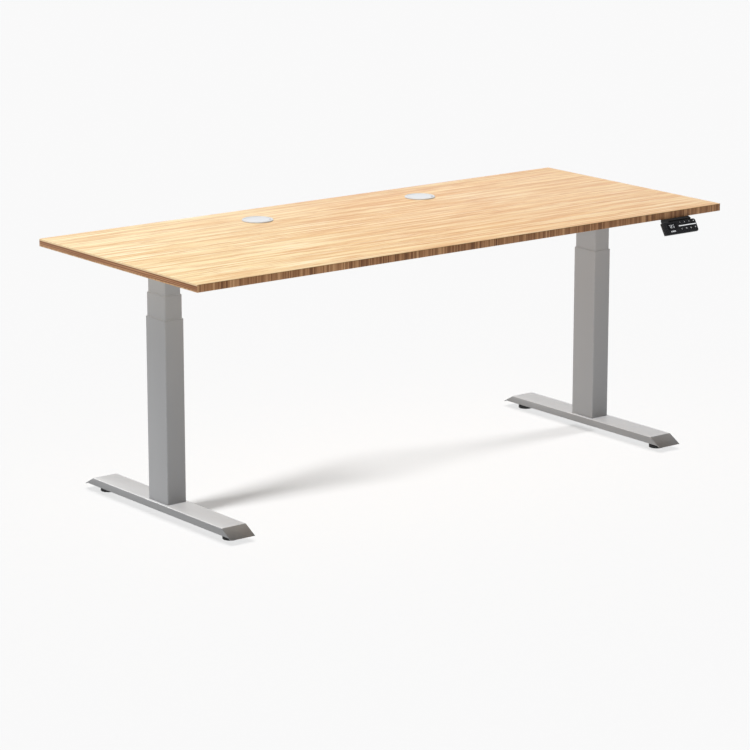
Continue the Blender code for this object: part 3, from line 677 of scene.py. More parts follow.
@dataclass(frozen=True)
class SmokedWindow:
    """Dark gloss window with faint finger marks."""

    def make(self) -> bpy.types.Material:
        """Make the finish.

        Returns:
            The material.
        """
        paint = Paint("display")
        place = paint.coordinates("Object")
        marks = paint.noise(place, 120.0, 4.0, 0.6).rise(0.45, 0.75)
        return paint.finish(
            base_color=paint.mix(marks, (0.008, 0.008, 0.010), (0.017, 0.017, 0.020)),
            roughness=0.10 + 0.16 * marks,
            coat_weight=0.4,
        )


@dataclass(frozen=True)
class Print:
    """White ink or lit segments, uneven at a small scale."""

    name: str
    colour: Colour
    glow: float

    def make(self) -> bpy.types.Material:
        """Make the finish.

        Returns:
            The material.
        """
        paint = Paint(self.name)
        speck = paint.noise(paint.coordinates("Object"), 1500.0, 3.0)
        colour = paint.shaded(self.colour, 0.90 + 0.14 * speck)
        self_lit = {"emission_color": colour} if self.glow else {}
        if self.glow:
            paint.shader.inputs["Emission Strength"].default_value = self.glow
        return paint.finish(
            bump=(speck, 0.05, 0.00003),
            base_color=colour,
            roughness=0.50 + 0.10 * speck,
            **self_lit,
        )


class Coat(Enum):
    """The desk's finishes; the first twelve are also the record's material slots."""

    BAMBOO = "bamboo"
    POWDER = "powder_coat"
    STEEL = "steel"
    BRASS = "brass"
    GREY_PLASTIC = "grey_plastic"
    WHITE_PLASTIC = "white_plastic"
    BLACK_PLASTIC = "black_plastic"
    FACE_PLATE = "face_plate"
    DISPLAY = "display"
    BOARD = "circuit_board"
    CABLE = "cable"
    RUBBER = "rubber"
    INK = "white_ink"
    LIT = "lit_segments"


def finishes() -> dict[Coat, Callable[[], bpy.types.Material]]:
    """Return the maker of each finish.

    Returns:
        What makes each finish when it is first needed.
    """
    low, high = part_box("desktop")
    return {
        Coat.BAMBOO: Bamboo(low.z, high.z).make,
        Coat.POWDER: PowderCoat().make,
        Coat.STEEL: MachinedMetal("steel", (0.56, 0.56, 0.57), 0.32).make,
        Coat.BRASS: MachinedMetal("brass", (0.74, 0.56, 0.26), 0.34).make,
        Coat.GREY_PLASTIC: MouldedPlastic("grey_plastic", (0.36, 0.36, 0.365), 0.50).make,
        Coat.WHITE_PLASTIC: MouldedPlastic(
            "white_plastic", (0.70, 0.71, 0.725), 0.36, grain=1200.0, relief=0.05, wear=0.02
        ).make,
        Coat.BLACK_PLASTIC: MouldedPlastic("black_plastic", (0.017, 0.017, 0.018), 0.46).make,
        Coat.FACE_PLATE: MouldedPlastic(
            "face_plate", (0.018, 0.018, 0.020), 0.30, grain=1600.0, relief=0.04, wear=0.05
        ).make,
        Coat.DISPLAY: SmokedWindow().make,
        Coat.BOARD: CircuitBoard().make,
        Coat.CABLE: Jacket().make,
        Coat.RUBBER: Rubber().make,
        Coat.INK: Print("white_ink", (0.86, 0.86, 0.86), 0.0).make,
        Coat.LIT: Print("lit_segments", (0.86, 0.88, 0.90), 0.38).make,
    }


# ---------------------------------------------------------------- mesh making

def settle(
    shape: bmesh.types.BMesh,
    name: str,
    place: Matrix = Matrix(),
    sharp: float = 35.0,
) -> bpy.types.Mesh:
    """Turn a bmesh into a mesh.

    Args:
        shape: The bmesh, which is freed.
        name: The mesh's name.
        place: Where the shape goes in the desk's frame.
        sharp: Edges that turn by more degrees than this stay sharp.

    Returns:
        The mesh, with faces pointing out.
    """
    bmesh.ops.remove_doubles(shape, verts=shape.verts, dist=WELD / 10)
    bmesh.ops.transform(shape, matrix=place, verts=shape.verts)
    bmesh.ops.recalc_face_normals(shape, faces=shape.faces)
    mesh = bpy.data.meshes.new(name)
    shape.to_mesh(mesh)
    shape.free()
    mesh.shade_smooth()
    mesh.set_sharp_from_angle(angle=math.radians(sharp))
    return mesh


def circle(radius: float, height: float, steps: int) -> list[Vector]:
    """Return a level ring of points."""
    turns = (math.tau * step / steps for step in range(steps))
    return [Vector((radius * math.cos(turn), radius * math.sin(turn), height)) for turn in turns]


def loft(shape: bmesh.types.BMesh, rings: Sequence[Sequence[Vector]], closed: bool = False) -> None:
    """Skin a row of rings.

    Args:
        shape: The bmesh to add to.
        rings: The rings in order, all of one count of points.
        closed: True joins the last ring to the first, and False caps both ends.
    """
    rows = [[shape.verts.new(point) for point in ring] for ring in rings]
    pairs = list(zip(rows, rows[1:]))
    if closed:
        pairs.append((rows[-1], rows[0]))
    for lower, upper in pairs:
        for index, corner in enumerate(lower):
            following = (index + 1) % len(lower)
            shape.faces.new((corner, lower[following], upper[following], upper[index]))
    if not closed:
        shape.faces.new(list(reversed(rows[0])))
        shape.faces.new(rows[-1])


def turned(
    name: str,
    profile: Sequence[Point],
    place: Matrix,
    closed: bool = False,
    steps: int = 64,
) -> bpy.types.Mesh:
    """Return a turned piece.

    Args:
        name: The mesh's name.
        profile: (radius, height) points from one end to the other.
        place: Where its axis goes.
        closed: True for a ring, whose profile meets itself.
        steps: Points round the piece.

    Returns:
        The mesh.
    """
    shape = bmesh.new()
    loft(shape, [circle(radius, height, steps) for radius, height in profile], closed)
    return settle(shape, name, place)


def arc(centre: Point, radius: float, start: float, end: float, steps: int = 6) -> list[Point]:
    """Return points on an arc between two angles in degrees.

    Args:
        centre: The arc's centre.
        radius: Its radius.
        start: The first angle.
        end: The last angle.
        steps: How many pieces it is cut into.

    Returns:
        The points, one more than the pieces.
    """
    points = []
    for step in range(steps + 1):
        angle = math.radians(start + (end - start) * step / steps)
        points.append((centre[0] + radius * math.cos(angle), centre[1] + radius * math.sin(angle)))
    return points


def slab(
    shape: bmesh.types.BMesh,
    outline: Sequence[Point],
    low: float,
    high: float,
    edge: float = 0.0,
    place: Matrix = Matrix(),
) -> None:
    """Add a flat outline drawn out into a slab.

    Args:
        shape: The bmesh to add to.
        outline: The outline, counter-clockwise.
        low: Height of its underside.
        high: Height of its upper side.
        edge: How far its rims are rounded, or 0 for not at all.
        place: Where the slab goes.
    """
    bottom = [shape.verts.new(place @ Vector((x, y, low))) for x, y in outline]
    top = [shape.verts.new(place @ Vector((x, y, high))) for x, y in outline]
    caps = [shape.faces.new(list(reversed(bottom))), shape.faces.new(top)]
    for index, corner in enumerate(bottom):
        following = (index + 1) % len(bottom)
        shape.faces.new((corner, bottom[following], top[following], top[index]))
    if edge:
        rims = list({rim for cap in caps for rim in cap.edges})
        bmesh.ops.bevel(shape, geom=rims, offset=edge, segments=2, profile=0.5, affect="EDGES")


def rounded_box(left: float, right: float, bottom: float, top: float, radius: float) -> list[Point]:
    """Return the outline of a rectangle with round corners.

    Args:
        left: Its left side.
        right: Its right side.
        bottom: Its lower side.
        top: Its upper side.
        radius: The corners' radius.

    Returns:
        The points, counter-clockwise.
    """
    centres = (
        ((right - radius, top - radius), 0.0),
        ((left + radius, top - radius), 90.0),
        ((left + radius, bottom + radius), 180.0),
        ((right - radius, bottom + radius), 270.0),
    )
    points: list[Point] = []
    for centre, start in centres:
        points += arc(centre, radius, start, start + 90.0, 5)
    return points


def facing(direction: Vector, at: Vector, side: Vector = Vector((1.0, 0.0, 0.0))) -> Matrix:
    """Return a place that faces along a direction.

    Args:
        direction: Where its Z points.
        at: Its origin.
        side: What its X lies closest to.

    Returns:
        The place.
    """
    up = direction.normalized()
    across = (side - up * side.dot(up)).normalized()
    ahead = up.cross(across)
    turn = Matrix((across, ahead, up)).transposed().to_4x4()
    return Matrix.Translation(at) @ turn


def even_shading() -> bpy.types.NodeTree:
    """Return a modifier group that welds a faceted solid and shades it smooth but for sharp edges.

    Returns:
        The node group, which takes the sharp angle in radians.
    """
    group = bpy.data.node_groups.new("even_shading", "GeometryNodeTree")
    group.interface.new_socket("Geometry", in_out="INPUT", socket_type="NodeSocketGeometry")
    group.interface.new_socket("Sharp Angle", in_out="INPUT", socket_type="NodeSocketFloat")
    group.interface.new_socket("Geometry", in_out="OUTPUT", socket_type="NodeSocketGeometry")
    source = group.nodes.new("NodeGroupInput")
    weld = group.nodes.new("GeometryNodeMergeByDistance")
    weld.inputs["Distance"].default_value = WELD
    turn = group.nodes.new("GeometryNodeInputMeshEdgeAngle")
    sharp = group.nodes.new("FunctionNodeCompare")
    sharp.data_type = "FLOAT"
    sharp.operation = "GREATER_THAN"
    shade = group.nodes.new("GeometryNodeSetMeshNormal")
    shade.mode = "SHARPNESS"
    shade.inputs["Remove Custom"].default_value = True
    sink = group.nodes.new("NodeGroupOutput")
    group.links.new(source.outputs[0], weld.inputs[0])
    group.links.new(weld.outputs[0], shade.inputs[0])
    group.links.new(turn.outputs[0], sharp.inputs[0])
    group.links.new(source.outputs[1], sharp.inputs[1])
    group.links.new(sharp.outputs[0], shade.inputs["Edge Sharpness"])
    group.links.new(shade.outputs[0], sink.inputs[0])
    return group


# ---------------------------------------------------------------- sub-assemblies

@dataclass
class Workshop:
    """The frame's nodes and the finishes, shared by all sub-assemblies."""

    nodes: dict[str, bpy.types.Object]
    slots: dict[str, str]
    makers: dict[Coat, Callable[[], bpy.types.Material]]
    shading: bpy.types.NodeTree
    coats: dict[Coat, bpy.types.Material] = field(default_factory=dict)

    def coat(self, coat: Coat) -> bpy.types.Material:
        """Return a finish, made on first use.

        Args:
            coat: The finish's name.

        Returns:
            Its material.
        """
        if coat not in self.coats:
            self.coats[coat] = self.makers[coat]()
        return self.coats[coat]

    def dress(self, name: str, sharp: float = 38.0) -> None:
        """Give a frame node its finish and even shading.

        Args:
            name: The node.
            sharp: The turn in degrees from which an edge shows as a crease.
        """
        node = self.nodes[name]
        coat = Coat(self.slots[name])
        node.data.materials.clear()
        node.data.materials.append(self.coat(coat))
        shading = node.modifiers.new("even shading", "NODES")
        shading.node_group = self.shading
        socket = self.shading.interface.items_tree["Sharp Angle"].identifier
        shading[socket] = math.radians(sharp)
        LOG.info("dressed %s in %s", name, coat.value)

    def add(
        self,
        name: str,
        mesh: bpy.types.Mesh,
        coat: Coat,
        body: str,
        replaces: Sequence[str] = (),
        slot: Coat | None = None,
    ) -> bpy.types.Object:
        """Add a piece of its own.

        Args:
            name: The piece's name.
            mesh: Its mesh, in the desk's frame.
            coat: Its finish.
            body: The body that it rides on.
            replaces: The frame nodes that it stands for.
            slot: The record's slot, where the finish has none of its own; it is not used.

        Returns:
            The new object.
        """
        piece = bpy.data.objects.new(name, mesh)
        bpy.context.scene.collection.objects.link(piece)
        mesh.materials.append(self.coat(coat))
        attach(piece, body)
        if replaces:
            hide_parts(*replaces)
        LOG.info("made %s for %s", name, body)
        return piece


class Side(Enum):
    """The two ends of the desk."""

    LEFT = -1
    RIGHT = 1

    @property
    def word(self) -> str:
        """Return the side's part of a name."""
        return self.name.lower()


@dataclass
class ScrewHead:
    """A pan head with a cross recess, seen from outside."""

    radius: float = 0.0040
    height: float = 0.0022
    arm: float = 0.0021
    steps: int = 48

    def _cross(self, reach: float, height: float) -> list[Vector]:
        """Return a ring in the shape of a cross.

        Args:
            reach: How far its arms reach.
            height: Its height.

        Returns:
            The ring.
        """
        points = []
        for step in range(self.steps):
            turn = math.tau * step / self.steps
            share = abs(math.cos(2.0 * turn)) ** 3
            radius = reach * (0.42 + 0.58 * share)
            points.append(Vector((radius * math.cos(turn), radius * math.sin(turn), height)))
        return points

    def mesh(self, name: str, place: Matrix) -> bpy.types.Mesh:
        """Build the head.

        Args:
            name: The mesh's name.
            place: Its seat, with Z out of the surface.

        Returns:
            The mesh.
        """
        shape = bmesh.new()
        rings = [circle(self.radius * 0.55, -0.0010, self.steps), circle(self.radius * 0.55, 0.0, self.steps)]
        rings.append(circle(self.radius, 0.0, self.steps))
        for radius, height in arc((0.0, self.height - self.radius * 1.02), self.radius * 1.02, 24.0, 62.0, 5):
            rings.append(circle(radius, max(height, 0.0004), self.steps))
        top = rings[-1][0].z
        rings.append(self._cross(self.arm, top))
        rings.append(self._cross(self.arm * 0.72, top - self.height * 0.55))
        loft(shape, rings)
        return settle(shape, name, place)


@dataclass
class Desktop:
    """The bamboo board with its two cable grommets."""

    shop: Workshop
    rim_height: float = 0.0040
    rim_slope: float = 0.0042
    sleeve_wall: float = 0.0022
    notch_radius: float = 0.0045
    notch_turn: float = math.atan2(-0.61, 0.79)
    steps: int = 240

    def build(self) -> None:
        """Dress the board and build both grommets."""
        self.shop.dress("desktop")
        for side in Side:
            self._sleeve(side)
            self._cap(side)

    def _axis(self, side: Side) -> tuple[Vector, float, float]:
        """Return where a grommet sits, and its two radii.

        Args:
            side: Which grommet.

        Returns:
            Its centre on the desktop, the rim's radius and the cap's radius.
        """
        low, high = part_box("grommet_sleeve_" + side.word)
        cap_low, cap_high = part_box("grommet_cap_" + side.word)
        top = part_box("desktop")[1].z
        centre = Vector(((low.x + high.x) / 2, (low.y + high.y) / 2, top))
        return centre, (high.x - low.x) / 2, (cap_high.y - cap_low.y) / 2

    def _sleeve(self, side: Side) -> None:
        """Build the flanged sleeve that lines the hole.

        Args:
            side: Which grommet.
        """
        centre, rim, cap = self._axis(side)
        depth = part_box("grommet_sleeve_" + side.word)[0].z - centre.z
        seat = 0.0003
        barrel = rim - 0.0043
        bore = barrel - self.sleeve_wall
        ledge = cap - 0.0025
        high = self.rim_height
        profile = [(cap + 0.0004, high - 0.0010), (cap + 0.0012, high - 0.0002)]
        for step in range(9):
            turn = math.radians(step * 11.25)
            reach = rim - self.rim_slope * (1.0 - math.sin(turn))
            profile.append((reach, 0.0008 + (high - 0.0008) * math.cos(turn)))
        profile += [(rim - 0.0003, seat), (barrel, seat)]
        profile += [(barrel, depth + 0.001), (barrel - 0.0008, depth), (bore, depth)]
        profile += [(bore, seat - 0.0018), (ledge, seat - 0.0015), (ledge, seat + 0.0003)]
        profile += [(cap + 0.0004, seat + 0.0003)]
        mesh = turned("grommet_ring", profile, Matrix.Translation(centre), closed=True, steps=120)
        name = "grommet_ring_" + side.word
        self.shop.add(name, mesh, Coat.WHITE_PLASTIC, "top", ["grommet_sleeve_" + side.word])

    def _cap(self, side: Side) -> None:
        """Build the lift-off cap with its cable notch and a shallow dish.

        Args:
            side: Which grommet.
        """
        centre, _, cap = self._axis(side)
        low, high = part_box("grommet_cap_" + side.word)
        bottom = low.z - centre.z
        top = high.z - centre.z
        shape = bmesh.new()
        rings = []
        for inset, height in ((0.0, bottom), (0.0, top - 0.0006), (0.0002, top - 0.0002), (0.0007, top)):
            rings.append(self._notched(cap - inset, height, inset))
        for share, drop in ((0.84, 0.0), (0.80, 0.0004), (0.76, 0.0006), (0.4, 0.0007), (0.02, 0.00075)):
            rings.append(circle(cap * share, top - drop, self.steps))
        loft(shape, rings)
        mesh = settle(shape, "grommet_lid", Matrix.Translation(centre), sharp=45.0)
        name = "grommet_lid_" + side.word
        self.shop.add(name, mesh, Coat.WHITE_PLASTIC, "cap_" + side.word, ["grommet_cap_" + side.word])

    def _notched(self, radius: float, height: float, inset: float) -> list[Vector]:
        """Return a ring with the cable notch in it.

        Args:
            radius: The ring's radius.
            height: Its height.
            inset: How much wider the notch is than at the rim.

        Returns:
            The ring.
        """
        reach = radius - 0.0006
        hollow = self.notch_radius + inset
        points = []
        for step in range(self.steps):
            turn = math.tau * step / self.steps
            off = math.remainder(turn - self.notch_turn, math.tau)
            here = radius
            gap = hollow**2 - (reach * math.sin(off)) ** 2
            if gap > 0.0 and abs(off) < 1.0:
                here = min(radius, reach * math.cos(off) - math.sqrt(gap))
            points.append(Vector((here * math.cos(turn), here * math.sin(turn), height)))
        return points


@dataclass
class Leg:
    """One leg: foot, levellers, three tubes and the lifting screws inside."""

    shop: Workshop
    side: Side
    thread_pitch: float = 0.00125
    pad_ribs: int = 24

    def build(self) -> None:
        """Dress the leg's nodes and build its levellers."""
        word = self.side.word
        self.shop.dress("foot_" + word, sharp=26.0)
        for node in ("outer_tube_", "middle_tube_", "inner_tube_"):
            self.shop.dress(node + word)
        for node in ("foot_clamp_plate_", "spindle_upper_", "spindle_lower_", "worm_wheel_"):
            self.shop.dress(node + word)
        for node in ("outer_glide_", "middle_glide_", "upper_nut_tube_", "lower_nut_tube_"):
            self.shop.dress(node + word)
        for end in ("front", "back"):
            self._leveller(f"leveller_{word}_{end}")

    def _leveller(self, node: str) -> None:
        """Build a round pad with a gripped rim on a threaded stud.

        Args:
            node: The frame node that it stands for.
        """
        low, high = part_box(node)
        centre = Vector(((low.x + high.x) / 2, (low.y + high.y) / 2, 0.0))
        pad = (high.x - low.x) / 2
        steps = self.pad_ribs * 4
        shape = bmesh.new()
        rings = [circle(pad - 0.0030, 0.0, steps), circle(pad - 0.0012, 0.0, steps)]
        rings += [circle(pad - 0.0003, 0.0005, steps), circle(pad, 0.0014, steps)]
        for height in (0.0022, 0.0082):
            rings.append(self._ribbed(pad, height, steps))
        rings += [circle(pad, 0.0090, steps), circle(pad - 0.0004, 0.0099, steps)]
        rings += [circle(pad - 0.0016, 0.0108, steps), circle(0.0125, 0.0158, steps)]
        rings += [circle(0.0110, 0.0165, steps), circle(0.0068, 0.0166, steps)]
        stud = 0.0040
        height = 0.0168
        while height < high.z - 0.0014:
            rings.append(circle(stud - 0.0006, height, steps))
            rings.append(circle(stud, height + self.thread_pitch * 0.5, steps))
            height += self.thread_pitch
        rings += [circle(stud - 0.0006, high.z - 0.0008, steps), circle(stud - 0.0012, high.z, steps)]
        loft(shape, rings)
        mesh = settle(shape, "levelling_pad", Matrix.Translation(centre), sharp=30.0)
        name = node.replace("leveller", "levelling_pad")
        self.shop.add(name, mesh, Coat.RUBBER, node, [node])

    def _ribbed(self, radius: float, height: float, steps: int) -> list[Vector]:
        """Return a ring with grip notches.

        Args:
            radius: The ring's radius.
            height: Its height.
            steps: Its count of points.

        Returns:
            The ring.
        """
        points = circle(radius, height, steps)
        for index, point in enumerate(points):
            if index % 4 == 0:
                point.xy *= 1.0 - 0.0007 / radius
        return points


@dataclass
class Carrier:
    """What carries the desktop: gear heads, brackets, rails and their screws."""

    shop: Workshop
    head: ScrewHead = field(default_factory=ScrewHead)
    screw_rows: tuple[float, ...] = (-0.27, -0.13, 0.13, 0.27)
    web_thickness: float = 0.0025

    def build(self) -> None:
        """Dress the steelwork and drive the wood screws."""
        for rail in ("rail_front", "rail_back"):
            self.shop.dress(rail)
        for side in Side:
            for node in ("side_bracket_", "head_casing_", "motor_"):
                self.shop.dress(node + side.word)
            self._wood_screws(side)
            self._motor_boot(side)

    def _wood_screws(self, side: Side) -> None:
        """Screw the bracket's web to the desktop from below.

        Args:
            side: Which bracket.
        """
        low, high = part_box("side_bracket_" + side.word)
        middle = (low.y + high.y) / 2
        x = (low.x + high.x) / 2
        web = high.z - self.web_thickness
        for number, y in enumerate(self.screw_rows, start=1):
            seat = Vector((x, middle + y, web))
            mesh = self.head.mesh("wood_screw", facing(Vector((0.0, 0.0, -1.0)), seat))
            self.shop.add(f"wood_screw_{side.word}_{number}", mesh, Coat.STEEL, "top")

    def _motor_boot(self, side: Side) -> None:
        """Build the rubber sleeve where the motor's lead leaves its casing.

        Args:
            side: Which motor.
        """
        low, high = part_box("motor_" + side.word)
        casing_low, casing_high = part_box("head_casing_" + side.word)
        wall = casing_low.x if side is Side.RIGHT else casing_high.x
        at = Vector((wall, (low.y + high.y) / 2, (low.z + high.z) / 2))
        place = facing(Vector((-float(side.value), 0.0, 0.0)), at, Vector((0.0, 0.0, 1.0)))
        self.shop.add("motor_boot_" + side.word, lead_boot(place), Coat.CABLE, "top")


def lead_boot(place: Matrix) -> bpy.types.Mesh:
    """Return a short ribbed sleeve round a lead, from a wall outwards along Z.

    Args:
        place: The point on the wall, with Z along the lead.

    Returns:
        The mesh.
    """
    profile = [(0.0025, 0.0), (0.0052, 0.0), (0.0054, 0.0006), (0.0054, 0.0018), (0.0050, 0.0022)]
    for rib in range(4):
        height = 0.0026 + rib * 0.0022
        radius = 0.0043 - rib * 0.0003
        profile += [(radius - 0.0005, height), (radius, height + 0.0004), (radius, height + 0.0014)]
    profile += [(0.0029, 0.0118), (0.0025, 0.0120)]
    return turned("lead_boot", profile, place, closed=True, steps=32)


@dataclass
class ControlBox:
    """The control box under the desktop with its inlet and lead entries."""

    shop: Workshop
    screw_inset: float = 0.007
    screw_half_gap: float = 0.034
    entry_height: float = 0.017
    entry_offset: float = 0.020
    rib_count: int = 14
    rib_start: float = 0.045
    rib_pitch: float = 0.012
    rib_half_width: float = 0.0022

    def build(self) -> None:
        """Dress the box and add its screws and boots."""
        for node in ("control_box_base", "control_box_lid", "control_board", "mains_inlet"):
            self.shop.dress(node)
        head = ScrewHead(radius=0.0038)
        low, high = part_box("control_box_lid")
        middle = (low.y + high.y) / 2
        ends = (low.x + self.screw_inset, high.x - self.screw_inset)
        corners = [(x, y) for x in ends for y in (-self.screw_half_gap, self.screw_half_gap)]
        for number, (x, y) in enumerate(corners, start=1):
            seat = Vector((x, middle + y, low.z))
            mesh = head.mesh("box_screw", facing(Vector((0.0, 0.0, -1.0)), seat))
            self.shop.add(f"box_screw_{number}", mesh, Coat.STEEL, "top")
        self._boots()
        self._vents()

    def _boots(self) -> None:
        """Build the boots on the three leads' entries."""
        low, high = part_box("control_box_base")
        middle = (low.y + high.y) / 2
        z = low.z + self.entry_height
        entries = (
            ("left_lead", low.x, self.entry_offset, -1.0),
            ("right_lead", high.x, self.entry_offset, 1.0),
            ("handset_lead", high.x, -self.entry_offset, 1.0),
        )
        for name, x, y, way in entries:
            place = facing(Vector((way, 0.0, 0.0)), Vector((x, middle + y, z)), Vector((0.0, 0.0, 1.0)))
            self.shop.add(name + "_boot", lead_boot(place), Coat.CABLE, "top")

    def _vents(self) -> None:
        """Build two rows of raised vent ribs along the tray's long sides."""
        low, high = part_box("control_box_base")
        shape = bmesh.new()
        for way, y in ((-1.0, low.y), (1.0, high.y)):
            for rib in range(self.rib_count):
                x = low.x + self.rib_start + rib * self.rib_pitch
                left = x - self.rib_half_width
                right = x + self.rib_half_width
                outline = rounded_box(left, right, low.z + 0.008, high.z - 0.007, 0.0018)
                place = facing(Vector((0.0, way, 0.0)), Vector((0.0, y, 0.0)))
                flat = [(px, -way * pz) for px, pz in outline]
                slab(shape, flat, LIFT_OFF, 0.0010, 0.0004, place)
        self.shop.add("control_box_ribs", settle(shape, "control_box_ribs"), Coat.BLACK_PLASTIC, "top")


@dataclass
class Wiring:
    """The leads under the desktop and the clips that hold them."""

    shop: Workshop
    bore: float = 0.00245
    wall: float = 0.0011
    width: float = 0.0085
    reach: float = 0.0105

    def build(self) -> None:
        """Dress the leads and clip them up."""
        for node in ("motor_lead_left", "motor_lead_right", "handset_lead"):
            self.shop.dress(node)
        spots = (
            ("motor_lead_left", (-0.46, 0.05)), ("motor_lead_left", (-0.28, 0.05)),
            ("motor_lead_left", (-0.10, 0.05)), ("motor_lead_right", (0.46, 0.05)),
            ("handset_lead", (0.665, -0.245)), ("handset_lead", (0.612, -0.165)),
        )
        for number, (lead, near) in enumerate(spots, start=1):
            self._clip(number, lead, near)

    def _run(self, lead: str, near: Point) -> tuple[Vector, Vector]:
        """Return how a lead runs near a place.

        Args:
            lead: The lead's node.
            near: The place, as X and Y.

        Returns:
            The lead's centre and its direction there.
        """
        points = [vertex.co for vertex in self.shop.nodes[lead].data.vertices]
        closest = min(points, key=lambda point: (point.xy - Vector(near)).length)
        around = [point for point in points if (point.xy - closest.xy).length < 0.026]
        centre = sum(around, Vector()) / len(around)
        far = max(around, key=lambda point: (point.xy - centre.xy).length)
        direction = far - centre
        direction.z = 0.0
        return centre, direction.normalized()

    def _clip(self, number: int, lead: str, near: Point) -> None:
        """Build a saddle clip over a lead, with its screw.

        Args:
            number: The clip's number.
            lead: The lead's node.
            near: Where it goes, as X and Y.
        """
        centre, direction = self._run(lead, near)
        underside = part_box("desktop")[0].z
        lift = underside - 0.0001 - centre.z
        outer = self.bore + self.wall
        outline = [(outer, lift)]
        outline += arc((0.0, 0.0), outer, 0.0, -180.0, 16)
        tip = -outer - self.reach
        outline += [(-outer, lift - self.wall), (tip, lift - self.wall), (tip, lift), (-self.bore, lift)]
        outline += arc((0.0, 0.0), self.bore, 180.0, 360.0, 16)
        outline += [(self.bore, lift)]
        place = facing(direction, centre, Vector((0.0, 0.0, 1.0)).cross(direction))
        if place.col[1].z < 0.0:
            place = place @ Matrix.Diagonal((1.0, -1.0, 1.0, 1.0))
        shape = bmesh.new()
        slab(shape, outline, -self.width / 2, self.width / 2, 0.0003, place)
        self.shop.add(f"lead_clip_{number}", settle(shape, "lead_clip"), Coat.BLACK_PLASTIC, "top")
        seat = place @ Vector((-outer - self.reach * 0.55, lift - self.wall, 0.0))
        head = ScrewHead(radius=0.0029, height=0.0016, arm=0.0015)
        mesh = head.mesh("clip_screw", facing(Vector((0.0, 0.0, -1.0)), seat))
        self.shop.add(f"clip_screw_{number}", mesh, Coat.STEEL, "top")


SEGMENTS = {"7": "abc", "2": "abged", "5": "afgcd"}


